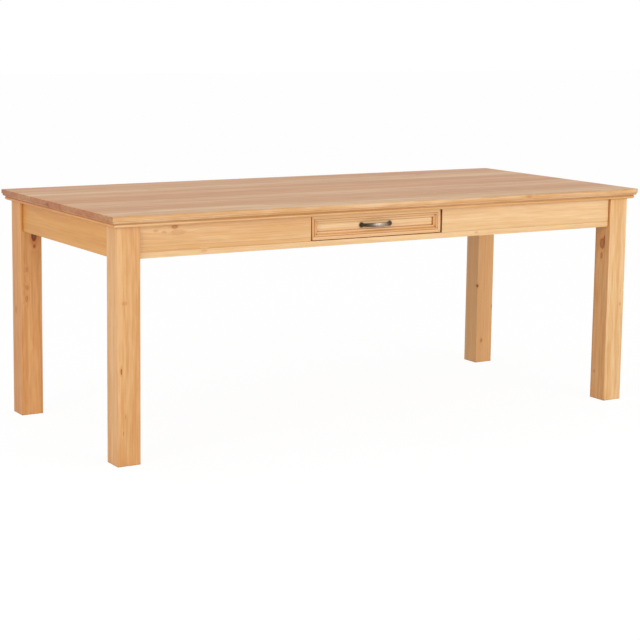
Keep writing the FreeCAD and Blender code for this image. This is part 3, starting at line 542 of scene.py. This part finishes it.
# grime sets how dark the painted shade and grime in the corners get
top_pine = make_pine("top pine", 0.5, top_knots, top_figure, grime=0.2, clean_and_unshaded_openness=rim_clean_and_unshaded_openness)
rim_pine = make_pine("rim pine", 0.5, grime=0.2, clean_and_unshaded_openness=rim_clean_and_unshaded_openness)
leg_pine = make_pine("leg pine", 0.5, leg_knots, leg_figure)
pale_leg_pine = make_pine("pale leg pine", 0.5, leg_knots, pale_leg_figure)
apron_pine = make_pine("apron pine", 0.5, apron_knots, apron_figure, grime=1.0)
calm_pine = make_pine("calm pine", 0.5, apron_knots, calm_figure, grime=1.0)
end_pine = make_pine("end pine", 0.5, apron_knots, end_figure, grime=1.0)
drawer_front_pine = make_pine("drawer front pine", 0.45, figure=drawer_figure, clean_and_unshaded_openness=0.93)
plain_pine = make_pine("plain pine", 0.65, coat=0.0, grime=0.4)
print("pine finishes", [item.name for item in bpy.data.materials if "pine" in item.name])

# %% [markdown]
# ## Laying the grain
#
# A joiner lays each board so that its grain runs along it: up the legs, along the aprons, and round the
# drawer's moulding strip by strip. Each board is a copy of its solid in the frame, with its triangles
# merged. Most boards have their arrises eased with a small bevel, as sandpaper leaves them. A board
# carries three attributes: the grain space for the rings, its tone, and which faces are sawn ends. Boards
# are cut from different places in the log, so each gets its own distance from the pith.

# %% Make boards from the frame
arris = 0.0006
moulding_arris = 0.001
sharp_angle = math.radians(40)
flat_angle = math.radians(0.5)
same_corner = 0.000002                  # corners closer than this are one
end_grain_cut = 4                       # keeps the brown of sawn ends off faces that only lean
slim_face = 0.003                       # a face narrower than this belongs to a rounded edge
grain_axes = {"x": (0, 1, 2), "y": (1, 0, 2), "z": (2, 0, 1)}
shelf = random.Random(7)

# Where a board may lie in its log: further along it, aside from the pith and out from it
along_log = (0, 20)
aside = (-0.06, 0.06)
out_from_pith = (0.05, 0.13)


def closed_copy(node):
    """The frame's solids of a node, with their triangles joined at the corners."""
    work = bmesh.new()
    work.from_mesh(frame["nodes"][node].data)
    bmesh.ops.remove_doubles(work, verts=work.verts, dist=same_corner)
    return work


def ease_arrises(work, width):
    """A small bevel on every sharp edge."""
    sharp = [e for e in work.edges if e.is_manifold and e.calc_face_angle() > sharp_angle]
    bmesh.ops.bevel(
        work, geom=sharp, offset=width, segments=2, profile=0.5, affect="EDGES", clamp_overlap=True
    )
    bmesh.ops.dissolve_degenerate(work, dist=same_corner / 2, edges=work.edges)


def face_width(mesh, face):
    """About how wide a long face is."""
    longest = max((mesh.vertices[a].co - mesh.vertices[b].co).length for a, b in face.edge_keys)
    return face.area / longest


def lay_grain(mesh, way, tone, side_tone):
    """Stores the board's grain space, its tone and its sawn ends on the mesh."""
    order = grain_axes[way]
    middle = sum((Vector(v.co) for v in mesh.vertices), Vector()) / len(mesh.vertices)
    offset = (shelf.uniform(*along_log), shelf.uniform(*aside), shelf.uniform(*out_from_pith))
    grain = mesh.attributes.new("grain", "FLOAT_VECTOR", "POINT")
    for vertex in mesh.vertices:
        local = vertex.co - middle
        grain.data[vertex.index].vector = [local[axis] + move for axis, move in zip(order, offset)]
    shade = mesh.attributes.new("tone", "FLOAT", "FACE")
    turned = [face.normal.x**2 for face in mesh.polygons]
    shade.data.foreach_set("value", [tone + (side_tone - tone) * share for share in turned])
    end = mesh.attributes.new("end", "FLOAT", "FACE")
    sawn = [abs(face.normal[order[0]]) ** end_grain_cut for face in mesh.polygons]
    end.data.foreach_set("value", sawn)


def mesh_from(work, name):
    """The finished work as a mesh."""
    mesh = bpy.data.meshes.new(name)
    work.to_mesh(mesh)
    work.free()
    return mesh


def stand_in(name, mesh, node, finish):
    """A piece of the scene that stands for a node of the frame and moves with its body."""
    mesh.materials.clear()
    mesh.materials.append(finish)
    piece = in_scene(name, mesh)
    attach(piece, frame["nodes"][node]["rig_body"])
    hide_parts(node)


def board(node, way, finish, tone=0.0, side_tone=None, width=arris):
    """One board of the table: its solid, eased, with its grain laid and its finish on."""
    work = closed_copy(node)
    bmesh.ops.dissolve_limit(work, angle_limit=flat_angle, verts=work.verts, edges=work.edges)
    if width:
        ease_arrises(work, width)
    mesh = mesh_from(work, node + "_board")
    for face in mesh.polygons:
        face.use_smooth = face_width(mesh, face) < slim_face
    lay_grain(mesh, way, tone, tone if side_tone is None else side_tone)
    stand_in(node + "_board", mesh, node, finish)


# %% [markdown]
# ## Top, legs and aprons
#
# The seven boards of the top are glued and sanded flush, so their joints aren't eased: only the change of
# figure shows where one board ends. The doubling frame under the rim is mitred, and its grain turns the
# corner with it. Legs and aprons are eased all round, which leaves a fine shadow line at each joint. A
# tone of 0 is the palest, and at -1 it is the deepest. A leg has one for its front and back faces, and one
# for its sides.

# %% Lay the top
top_tones = [-0.2, -0.75, -0.5, -0.88, -0.7, -0.4, -0.78]
for number, tone in enumerate(top_tones, 1):
    board(f"top_board_{number}", "x", top_pine, tone, width=0)
rim_boards = {"front": ("x", -0.4), "back": ("x", -0.4), "left": ("y", -1.0), "right": ("y", -0.6)}
for side, (way, tone) in rim_boards.items():
    board(f"top_frame_{side}", way, rim_pine, tone, width=0)
print("top boards", len(top_tones))

# %% Set the legs and aprons
leg_boards = {
    "front_left": (leg_pine, -0.6, -0.62),
    "front_right": (leg_pine, -0.28, -0.65),
    "back_left": (leg_pine, -0.82, -0.9),
    "back_right": (pale_leg_pine, -0.42, -0.4),
}
for corner, (finish, tone, side_tone) in leg_boards.items():
    board(f"leg_{corner}", "z", finish, tone, side_tone)
apron_boards = {
    "apron_front_left": ("x", apron_pine, -0.32),
    "apron_front_right": ("x", calm_pine, -0.16),
    "apron_front_rail": ("x", calm_pine, -0.15),
    "apron_back": ("x", apron_pine, -0.4),
    "apron_left_end": ("y", end_pine, -0.92),
    "apron_right_end": ("y", apron_pine, -0.5),
}
for node, (way, finish, tone) in apron_boards.items():
    board(node, way, finish, tone)
print("legs", len(leg_boards), "apron boards", len(apron_boards))

# %% [markdown]
# ## Inside the frame
#
# Under the top are the pieces that nobody waxes: corner blocks, cross rails, and the strips and stops of
# the drawer. They are planed pine, duller than the outside.

# %% Fit the hidden timber
inner_boards = {f"corner_block_{corner}": "x" for corner in leg_boards}
inner_boards.update({"cross_rail_left": "y", "cross_rail_right": "y", "drawer_pull_stop": "x"})
for kind in ("runner", "guide", "kicker", "stop"):
    for side in ("left", "right"):
        inner_boards[f"drawer_{kind}_{side}"] = "y"
for node, way in inner_boards.items():
    board(node, way, plain_pine, shelf.uniform(-0.5, -0.1))
print("inner boards", len(inner_boards))

# %% [markdown]
# ## The drawer
#
# The drawer's front is a plain panel inside four moulded strips that meet in mitres, so the grain runs
# with each strip. Behind it is a simple box with a thin plywood bottom.

# %% Build the drawer
board("drawer_front_panel", "x", drawer_front_pine, -0.05, width=0)
# The left strip's deeper tone is painted shade on its cove, and the top strip's paler tone is painted light
# against the shadow under the top's overhang
moulding_strips = {"top": ("x", -0.25), "bottom": ("x", -0.5), "left": ("z", -0.75), "right": ("z", -0.5)}
for side, (way, tone) in moulding_strips.items():
    board(f"drawer_moulding_{side}", way, drawer_front_pine, tone, width=moulding_arris)
for node, way in (("drawer_side_left", "y"), ("drawer_side_right", "y"), ("drawer_back", "x")):
    board(node, way, plain_pine, shelf.uniform(-0.4, -0.1))

# %% [markdown]
# ## Plywood
#
# Plywood is thin sheets glued with their grain crossed, so its edge shows pale and dark stripes. The
# stripes depend only on height, and on the broad faces they don't show, because the height there is the
# same all over. The middle sheet, laid across the others, is the dark one.

# %% Make the drawer's bottom
ply_count = 3
pale_ply = srgb(244, 214, 164)
late_ply = srgb(208, 160, 106)
crossed_ply = srgb(176, 134, 92)
ply_figure = {"Ring": 0.014, "Wander": 0.02}    # peeled veneer has broad, wandering rings
ply_patches = 0.45
ply_lines = 0.5


def make_plywood():
    finish, tree, shader = new_finish("plywood")
    low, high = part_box("drawer_bottom")
    height = add(tree, "ShaderNodeSeparateXYZ", {0: object_place(tree)}).outputs["Z"]
    sheet = calc(tree, "DIVIDE", calc(tree, "SUBTRACT", height, low.z), (high.z - low.z) / ply_count)
    from_middle = calc(tree, "ABSOLUTE", calc(tree, "SUBTRACT", sheet, ply_count / 2))
    outer = ramp(tree, from_middle, 0.45, 0.55)
    rings = use(tree, growth_rings, {"Grain": attribute(tree, "grain", "Vector"), **ply_figure})
    share = calc(tree, "MULTIPLY", ramp(tree, rings["Broad"], *broad_span), ply_patches)
    share = calc(tree, "ADD", share, calc(tree, "MULTIPLY", rings["Late"], ply_lines))
    face = blend_colour(tree, share, pale_ply, late_ply)
    colour = blend_colour(tree, outer, crossed_ply, face)
    rough = ramp(tree, share, 0.0, 1.0, 0.6, 0.75)
    feed(tree, shader, {"Base Color": colour, "Roughness": rough, "Normal": bump(tree, rings["Fibre"], 0.3)})
    return finish


plywood = make_plywood()
board("drawer_bottom", "x", plywood, width=0)
print("plywood sheets", ply_count)

# %% [markdown]
# ## Metal finishes
#
# Three finishes are used. The bolts, nuts, washers and brackets are zinc plated, grey with a faint cloudy
# bloom. The screws are yellow from their plating. The handle is antiqued: nearly black brown in its
# hollows, and rubbed to a grey satin where fingers touch the bow, with a painted highlight laid over that
# grey. One group gives all three their clouds, and the fine scratches or the grime that each needs.

# %% Make the metal finishes
plating_clouds = 0.005
antique_clouds = 0.006
scratch_shine = 0.15


def make_metal_age():
    inputs = {"Place": Vector((0, 0, 0)), "Size": 0.004}
    tree, given, result = effect("metal age", inputs, {"Cloud": float, "Scratch": float, "Grime": float})
    scaled = vector_calc(tree, "DIVIDE", given.outputs["Place"], given.outputs["Size"])
    cloud = noise(tree, scaled, (1, 1, 1), 3.0)
    scratch = ramp(tree, noise(tree, scaled, (9, 1.2, 9), 2.0, 0.7), 0.6, 0.75)
    grime = ramp(tree, noise(tree, scaled, (2.6, 2.6, 2.6), 4.0, 0.65), 0.5, 0.7)
    feed(tree, result, {"Cloud": cloud, "Scratch": scratch, "Grime": grime})
    return tree


metal_age = make_metal_age()


def make_plated(name, bright, dull, rough):
    """A plated steel: clouds of two tones, scratches that shine."""
    finish, tree, shader = new_finish(name)
    age = use(tree, metal_age, {"Place": object_place(tree), "Size": plating_clouds})
    colour = blend_colour(tree, age["Cloud"], bright, dull)
    rough = ramp(tree, age["Scratch"], 0.0, 1.0, rough, rough - scratch_shine)
    relief = bump(tree, age["Scratch"], 0.15, bump_size / 2)
    feed(tree, shader, {"Base Color": colour, "Roughness": rough, "Metallic": 1.0, "Normal": relief})
    return finish


zinc = make_plated("zinc plate", srgb(205, 207, 210), srgb(168, 171, 176), 0.42)
yellow_zinc = make_plated("yellow zinc plate", srgb(214, 190, 132), srgb(184, 160, 118), 0.36)
print("metals", zinc.name, yellow_zinc.name)

# %% [markdown]
# ## Reading where fasteners go
#
# The frame holds each screw, bolt, washer and nut as a small plain solid. Its place, its direction and its
# length can be read from its corners: the main axis of the corners is the fastener's axis, and the wide
# end is its head. Washers and nuts are short, so their axis is the smallest one.

# %% Find every fastener's axis
end_slice = 0.0001                      # corners this near to an end belong to it


def loose_solids(node):
    """The corners of each separate solid of a node, in the same order on every run."""
    work = closed_copy(node)
    work.verts.index_update()
    left = {vertex.index: vertex for vertex in work.verts}
    solids = []
    while left:
        front = [left.popitem()[1]]
        corners = []
        while front:
            vertex = front.pop()
            corners.append(tuple(vertex.co))
            for edge in vertex.link_edges:
                other = left.pop(edge.other_vert(vertex).index, None)
                if other is not None:
                    front.append(other)
        solids.append(np.array(corners))
    work.free()
    return solids


def fastener_axis(corners, flat):
    """Start, direction and length of one fastener, from its wide end."""
    middle = (corners.max(0) + corners.min(0)) / 2 if flat else corners.mean(0)
    spread = np.linalg.eigh(np.cov((corners - middle).T))[1]
    way = spread[:, 0 if flat else 2]
    along = (corners - middle) @ way
    off_axis = np.linalg.norm((corners - middle) - np.outer(along, way), axis=1)
    low_end = off_axis[along < along.min() + end_slice].max()
    high_end = off_axis[along > along.max() - end_slice].max()
    if high_end > low_end and not flat:
        way, along = -way, -along
    return Vector(middle + way * along.min()), Vector(way), float(along.max() - along.min())


def fastener_axes(node, flat=False):
    """One axis for each fastener of a node."""
    return [fastener_axis(corners, flat) for corners in loose_solids(node)]


for node in ("leg_hanger_bolts", "corner_block_screws", "batten_screws", "top_bracket_screws"):
    axes = fastener_axes(node)
    print(node, len(axes), "lengths in mm", sorted({round(axis[2] * 1000, 1) for axis in axes}))

# %% [markdown]
# ## Modelling one of each
#
# Rings round an axis describe each fastener, as if it were turned on a lathe. A ring's radius may also
# change with the angle: that gives the six sides of a nut and the cross in a screw's head.

# %% Loft rings into a fastener
screw_sides = 24
fine_sides = 48
lathe_crease = 35                       # in degrees: edges sharper than this stay crisp


def smooth_but_for_creases(mesh, crease):
    mesh.polygons.foreach_set("use_smooth", [True] * len(mesh.polygons))
    mesh.set_sharp_from_angle(angle=math.radians(crease))


def lofted(name, rings, sides=screw_sides, closed=False):
    """Mesh through rings given as (radius, height). A radius may be a function of the angle."""
    corners = []
    for radius, height in rings:
        for index in range(sides):
            angle = 2 * math.pi * index / sides
            reach = radius(angle) if callable(radius) else radius
            corners.append((reach * math.cos(angle), reach * math.sin(angle), height))
    faces = []
    for ring in range(len(rings) if closed else len(rings) - 1):
        low = ring * sides
        high = (ring + 1) % len(rings) * sides
        for index in range(sides):
            after = (index + 1) % sides
            faces.append((low + index, low + after, high + after, high + index))
    if not closed:
        last = (len(rings) - 1) * sides
        faces.append(tuple(reversed(range(sides))))
        faces.append(tuple(range(last, last + sides)))
    mesh = bpy.data.meshes.new(name)
    mesh.from_pydata(corners, [], faces)
    work = bmesh.new()
    work.from_mesh(mesh)
    bmesh.ops.recalc_face_normals(work, faces=work.faces)
    work.to_mesh(mesh)
    work.free()
    smooth_but_for_creases(mesh, lathe_crease)
    return mesh


# %% Model the screws, bolts, washers and nuts
screw_head = 0.004
screw_neck = 0.00195
bolt_crest = 0.0039
washer_reach = 0.012
washer_hole = 0.0046
nut_flats = 0.0065                      # from the axis to a side
nut_hole = 0.004
nut_mouth = 0.0045
nut_circle = 0.95                       # a nut's faces are circles this much of its flats
nut_chamfer = 0.0006


def cross(length, width):
    """Radius of a cross-shaped recess at an angle."""
    def reach(angle):
        off = abs((angle + math.pi / 4) % (math.pi / 2) - math.pi / 4)
        return min(length / math.cos(off), width / max(math.sin(off), 0.001))
    return reach


def thread(start, stop, pitch, root, crest):
    """Rings of a thread, drawn as ridges."""
    rings = []
    height = start
    while height + pitch <= stop:
        rings.append((root, height))
        rings.append((crest, height + pitch / 2))
        height += pitch
    return rings


def recess(reach, depth):
    """A cross recess: its floor and its mouth."""
    return [(cross(0.0011, 0.0004), depth), (cross(reach, 0.00055), 0)]


def wood_screw(length):
    """Countersunk screw with a cross recess, its head at 0."""
    head = [(0.00385, 0), (screw_head, 0.0002), (screw_neck, 0.0022)]
    ridges = thread(0.0045, length - 0.004, pitch=0.0018, root=0.0014, crest=0.0019)
    return lofted("wood screw", recess(0.0021, 0.0016) + head + ridges + [(0.0002, length)])


def machine_screw(length):
    """Pan-head screw with a cross recess, its crown at 0."""
    crown = [(0.0028, 0), (0.0037, 0.0006), (screw_head, 0.0014)]
    neck = [(screw_head, 0.0024), (screw_neck, 0.0024)]
    ridges = thread(0.0028, length, pitch=0.0008, root=0.0017, crest=screw_neck)
    return lofted("machine screw", recess(0.002, 0.0015) + crown + neck + ridges + [(0.0016, length)])


def hanger_bolt(length):
    """Bolt without a head: fine thread at its blunt end, coarse thread in the leg."""
    blunt = [(0.0033, 0), (bolt_crest, 0.0007)]
    fine = thread(0.001, 0.042, pitch=0.00125, root=0.0034, crest=bolt_crest)
    plain = [(bolt_crest, 0.0435), (bolt_crest, 0.049)]
    coarse = thread(0.050, length - 0.006, pitch=0.003, root=0.0029, crest=bolt_crest)
    return lofted("hanger bolt", blunt + fine + plain + coarse + [(0.001, length)])


def washer(length):
    """Flat ring with slightly broken edges."""
    reach, edge = washer_reach, 0.0003
    outer = [(reach - edge, 0), (reach, edge), (reach, length - edge), (reach - edge, length)]
    inner = [(washer_hole, length), (washer_hole, 0)]
    return lofted("washer", outer + inner, fine_sides, closed=True)


def hex_nut(length):
    """Six-sided nut that narrows to a circle at both faces, its hole eased at both mouths."""
    def six(angle):
        return nut_flats / math.cos((angle + math.pi / 6) % (math.pi / 3) - math.pi / 6)

    circle = nut_flats * nut_circle
    outer = [(circle, 0), (six, nut_chamfer), (six, length - nut_chamfer), (circle, length)]
    inner = [(nut_mouth, length), (nut_hole, length - 0.0005), (nut_hole, 0.0005), (nut_mouth, 0)]
    return lofted("hex nut", outer + inner, fine_sides, closed=True)


print("one wood screw has", len(wood_screw(0.03).polygons), "faces")

# %% [markdown]
# ## Setting every fastener with Geometry Nodes
#
# The same fastener sits in many places, which is work for Geometry Nodes. One tree takes points that
# carry their direction, stands a copy of the model on each, and turns it by a random angle round its own
# axis, because no fitter lines up the crosses. It ends by making the copies real and giving them their
# finish. The brackets need no model of their own: the frame's solids only get the zinc finish.

# %% Build the fastener tree
def make_fastener_tree():
    """Inputs: the points, the model of the fastener, its finish and a seed for the random turns."""
    tree = bpy.data.node_groups.new("fasteners on points", "GeometryNodeTree")
    kinds = {"Geometry": "Geometry", "Fastener": "Object", "Finish": "Material", "Seed": "Int"}
    for label, kind in kinds.items():
        tree.interface.new_socket(label, in_out="INPUT", socket_type="NodeSocket" + kind)
    tree.interface.new_socket("Geometry", in_out="OUTPUT", socket_type="NodeSocketGeometry")
    given = add(tree, "NodeGroupInput").outputs
    points = add(tree, "GeometryNodeMeshToPoints", {"Mesh": given["Geometry"]})
    way = add(tree, "GeometryNodeInputNamedAttribute", {"Name": "way"}, data_type="FLOAT_VECTOR")
    stand = add(tree, "FunctionNodeAlignRotationToVector", {"Vector": way.outputs[0]}, axis="Z")
    # Input 3 is the highest angle
    inputs = {"Seed": given["Seed"], 3: math.tau}
    angle = add(tree, "FunctionNodeRandomValue", inputs, data_type="FLOAT").outputs[1]
    spin = add(tree, "FunctionNodeAxisAngleToRotation", {"Axis": (0, 0, 1), "Angle": angle})
    inputs = {0: stand.outputs[0], 1: spin.outputs[0]}
    turn = add(tree, "FunctionNodeRotateRotation", inputs, rotation_space="LOCAL")
    model = add(tree, "GeometryNodeObjectInfo", {"Object": given["Fastener"]})
    inputs = {"Points": points.outputs[0], "Instance": model.outputs["Geometry"], "Rotation": turn.outputs[0]}
    copies = add(tree, "GeometryNodeInstanceOnPoints", inputs)
    real = add(tree, "GeometryNodeRealizeInstances", {0: copies.outputs[0]})
    painted = add(tree, "GeometryNodeSetMaterial", {"Geometry": real.outputs[0], "Material": given["Finish"]})
    add(tree, "NodeGroupOutput", {0: painted.outputs[0]})
    return tree


fastener_tree = make_fastener_tree()


def socket_id(tree, label):
    """The identifier that a modifier knows an input by."""
    sockets = tree.interface.items_tree
    return next(s.identifier for s in sockets if s.name == label and s.in_out == "INPUT")


def copies_on(axes, model, finish, seed):
    """Plain mesh of one model set on each axis."""
    points = bpy.data.meshes.new("places")
    points.from_pydata([start for start, _, _ in axes], [], [])
    ways = points.attributes.new("way", "FLOAT_VECTOR", "POINT")
    for index, (_, way, _) in enumerate(axes):
        ways.data[index].vector = way
    holder = in_scene("places", points)
    pattern = in_scene("pattern", model)
    setter = holder.modifiers.new("fasteners", "NODES")
    setter.node_group = fastener_tree
    for label, value in {"Fastener": pattern, "Finish": finish, "Seed": seed}.items():
        setter[socket_id(fastener_tree, label)] = value
    graph = bpy.context.evaluated_depsgraph_get()
    mesh = bpy.data.meshes.new_from_object(holder.evaluated_get(graph))
    bpy.data.objects.remove(holder)
    bpy.data.objects.remove(pattern)
    return mesh


def set_fasteners(node, make_model, finish, flat=False):
    """All fasteners of one node, as one piece that stands for it."""
    axes = fastener_axes(node, flat)
    work = bmesh.new()
    for length in sorted({round(axis[2], 5) for axis in axes}):
        same = [axis for axis in axes if round(axis[2], 5) == length]
        # The number of copies is also the seed of their turns
        work.from_mesh(copies_on(same, make_model(length), finish, len(same)))
    mesh = mesh_from(work, node + "_set")
    stand_in(node + "_set", mesh, node, finish)
    print(node, len(axes), "set,", len(mesh.polygons), "faces")


# %% Set the fasteners
for node in ("corner_block_screws", "top_bracket_screws", "batten_screws", "drawer_bottom_screws"):
    set_fasteners(node, wood_screw, yellow_zinc)
set_fasteners("handle_screws", machine_screw, yellow_zinc)
set_fasteners("leg_hanger_bolts", hanger_bolt, zinc)
set_fasteners("leg_bolt_washers", washer, zinc, flat=True)
set_fasteners("leg_bolt_nuts", hex_nut, zinc, flat=True)
bracket_finishes = frame["nodes"]["top_brackets"].data.materials
bracket_finishes.clear()
bracket_finishes.append(zinc)

# %% [markdown]
# ## The bow handle
#
# The handle is one small casting: a bowed strap, wider in the middle, that stands on two round feet. Each
# foot has a raised rim and a hollow round its post. The strap is a row of rounded sections along an arc,
# and a foot is rings round an axis like the fasteners. The handle is made here again because its rims and
# the strap's soft edges need more faces than the solid has.

# %% Shape the handle
handle_low, handle_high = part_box("drawer_handle")
strap_thickness = 0.0032
strap_dome = 0.0005                     # how much the strap's outer face swells
strap_side_power = 0.5                  # powers under 1 make the section squarer than an ellipse
strap_face_power = 0.7
tip_bluntness = 0.0004                  # keeps a tip from closing to a line
strap_end_width = 0.0106
strap_middle_width = 0.013
foot_radius = 0.009
foot_post = 0.004
foot_height = 0.0058
foot_spacing = (handle_high.x - handle_low.x) - 2 * foot_radius
handle_middle = (handle_low + handle_high) / 2
handle_seat = Vector((handle_middle.x, handle_high.y, handle_middle.z))     # on the drawer's face
handle_crease = 50
bow_rise = 0.015
bow_height = handle_high.y - handle_low.y
bow_radius = ((foot_spacing / 2) ** 2 + bow_rise**2) / (2 * bow_rise)
stations = 57
section_points = 24


def strap_half_width(x):
    """Half the strap's width at a distance from its middle: swelling, then a rounded tip."""
    half = foot_spacing / 2
    if abs(x) > half:
        tip = strap_end_width / 2
        return tip * math.sqrt(max(1 - ((abs(x) - half) / tip) ** 2, tip_bluntness))
    swell = (strap_middle_width - strap_end_width) / 2
    return strap_end_width / 2 + swell * math.cos(math.pi * x / foot_spacing)


def signed_power(value, power):
    return math.copysign(abs(value) ** power, value)


def strap_corners(x):
    """One rounded section of the strap, square to the bow."""
    angle = math.asin(x / bow_radius)
    middle_radius = bow_radius - strap_thickness / 2
    centre_y = -(bow_height - bow_radius) - middle_radius * math.cos(angle)
    half = strap_half_width(x)
    corners = []
    for index in range(section_points):
        turn = 2 * math.pi * index / section_points
        side = signed_power(math.cos(turn), strap_side_power) * half
        out = signed_power(math.sin(turn), strap_face_power) * strap_thickness / 2
        dome = strap_dome * (1 - (side / half) ** 2)
        reach = out - strap_dome + dome if out > 0 else out
        corners.append(
            (math.sin(angle) * (middle_radius + reach), centre_y - math.cos(angle) * reach, side)
        )
    return corners


def add_strap(work):
    """Sections from one tip to the other, joined and closed."""
    reach = foot_spacing / 2 + strap_end_width / 2
    loops = []
    for station in range(stations):
        share = 2 * station / (stations - 1) - 1
        x = reach * math.sin(share * math.pi / 2)
        loops.append([work.verts.new(corner) for corner in strap_corners(x)])
    for low, high in zip(loops, loops[1:]):
        for index in range(section_points):
            after = (index + 1) % section_points
            work.faces.new((low[index], low[after], high[after], high[index]))
    work.faces.new(loops[0])
    work.faces.new(reversed(loops[-1]))


def foot_mesh():
    """Rosette: a rounded rim, a hollow, and a post up to the strap."""
    rim = [(foot_radius - 0.0003, 0), (foot_radius, 0.0003), (foot_radius, 0.0013)]
    crest = [(foot_radius - 0.0005, 0.0018), (foot_radius - 0.0012, 0.0018), (foot_radius - 0.0018, 0.0013)]
    hollow = [(0.0062, 0.0010), (0.0053, 0.0014), (0.0046, 0.0026), (foot_post, 0.0045)]
    return lofted("foot", rim + crest + hollow + [(foot_post, foot_height)], fine_sides)


def make_handle():
    """Strap and feet in one mesh, in place on the drawer."""
    work = bmesh.new()
    add_strap(work)
    for side in (-1, 1):
        foot = foot_mesh()
        place = Matrix.Translation((side * foot_spacing / 2, 0, 0)) @ Matrix.Rotation(math.pi / 2, 4, "X")
        foot.transform(place)
        work.from_mesh(foot)
    bmesh.ops.recalc_face_normals(work, faces=work.faces)
    bmesh.ops.translate(work, vec=handle_seat, verts=work.verts)
    mesh = mesh_from(work, "bow_handle")
    smooth_but_for_creases(mesh, handle_crease)
    return mesh


# %% [markdown]
# The antique finish is dark in the hollows and rubbed where it is touched: on the bow and on the crest of
# each foot's rim. How far a point stands out from the drawer, and from the foot's axis, says which of the
# two it is. The bow's grey is partly rubbed metal and partly a painted highlight, which is why it is
# stronger on its right half. The metal's clouds break up the line between rubbed and dark.

# %% Make the handle
hollow_brown = srgb(44, 32, 22)
hollow_bloom = srgb(84, 70, 50)
rubbed_and_highlit_grey = srgb(158, 144, 134)
rubbed_grime = srgb(112, 96, 82)

# Where the rubbing and the painted highlight start and where they are full, in metres from the seat
cloud_swing = 0.006                     # how far the clouds move those lines
bow_span = (0.016, 0.026)
right_highlight_span = (-0.03, 0.0)              # painted highlight, from the left half to the right half
rim_span = (0.0064, 0.0074)             # from the foot's axis
above_rim = (0.007, 0.009)              # further out than this it is no longer the rim


def make_antique():
    finish, tree, shader = new_finish("antique metal")
    place = object_place(tree)
    age = use(tree, metal_age, {"Place": place, "Size": antique_clouds})
    centred = vector_calc(tree, "SUBTRACT", place, handle_seat)
    apart = add(tree, "ShaderNodeSeparateXYZ", {0: centred}).outputs
    out = calc(tree, "SUBTRACT", calc(tree, "MULTIPLY", age["Cloud"], cloud_swing), apart["Y"])
    # The right half's extra brightness is a painted highlight
    right_highlight = ramp(tree, apart["X"], *right_highlight_span, 0.25, 1.0)
    bow = calc(tree, "MULTIPLY", ramp(tree, out, *bow_span), right_highlight)
    from_foot = calc(tree, "SUBTRACT", calc(tree, "ABSOLUTE", apart["X"]), foot_spacing / 2)
    foot_plane = add(tree, "ShaderNodeCombineXYZ", {0: from_foot, 1: apart["Z"]}).outputs[0]
    rim = ramp(tree, vector_calc(tree, "LENGTH", foot_plane), *rim_span, 0.0, 0.8)
    rim = calc(tree, "MULTIPLY", rim, ramp(tree, out, *above_rim, 1.0, 0.0))
    rubbed_and_highlit = calc(tree, "MAXIMUM", bow, rim)
    dark = blend_colour(tree, age["Cloud"], hollow_brown, hollow_bloom)
    bright = blend_colour(tree, age["Grime"], rubbed_and_highlit_grey, rubbed_grime)
    feed(tree, shader, {"Base Color": blend_colour(tree, rubbed_and_highlit, dark, bright), "Metallic": 0.85})
    rough = ramp(tree, age["Grime"], 0.0, 1.0, 0.38, 0.55)
    feed(tree, shader, {"Roughness": rough, "Normal": bump(tree, age["Cloud"], 0.3)})
    return finish


handle = make_handle()
stand_in("bow_handle", handle, "drawer_handle", make_antique())
print("handle faces", len(handle.polygons), "feet apart", round(foot_spacing, 4))
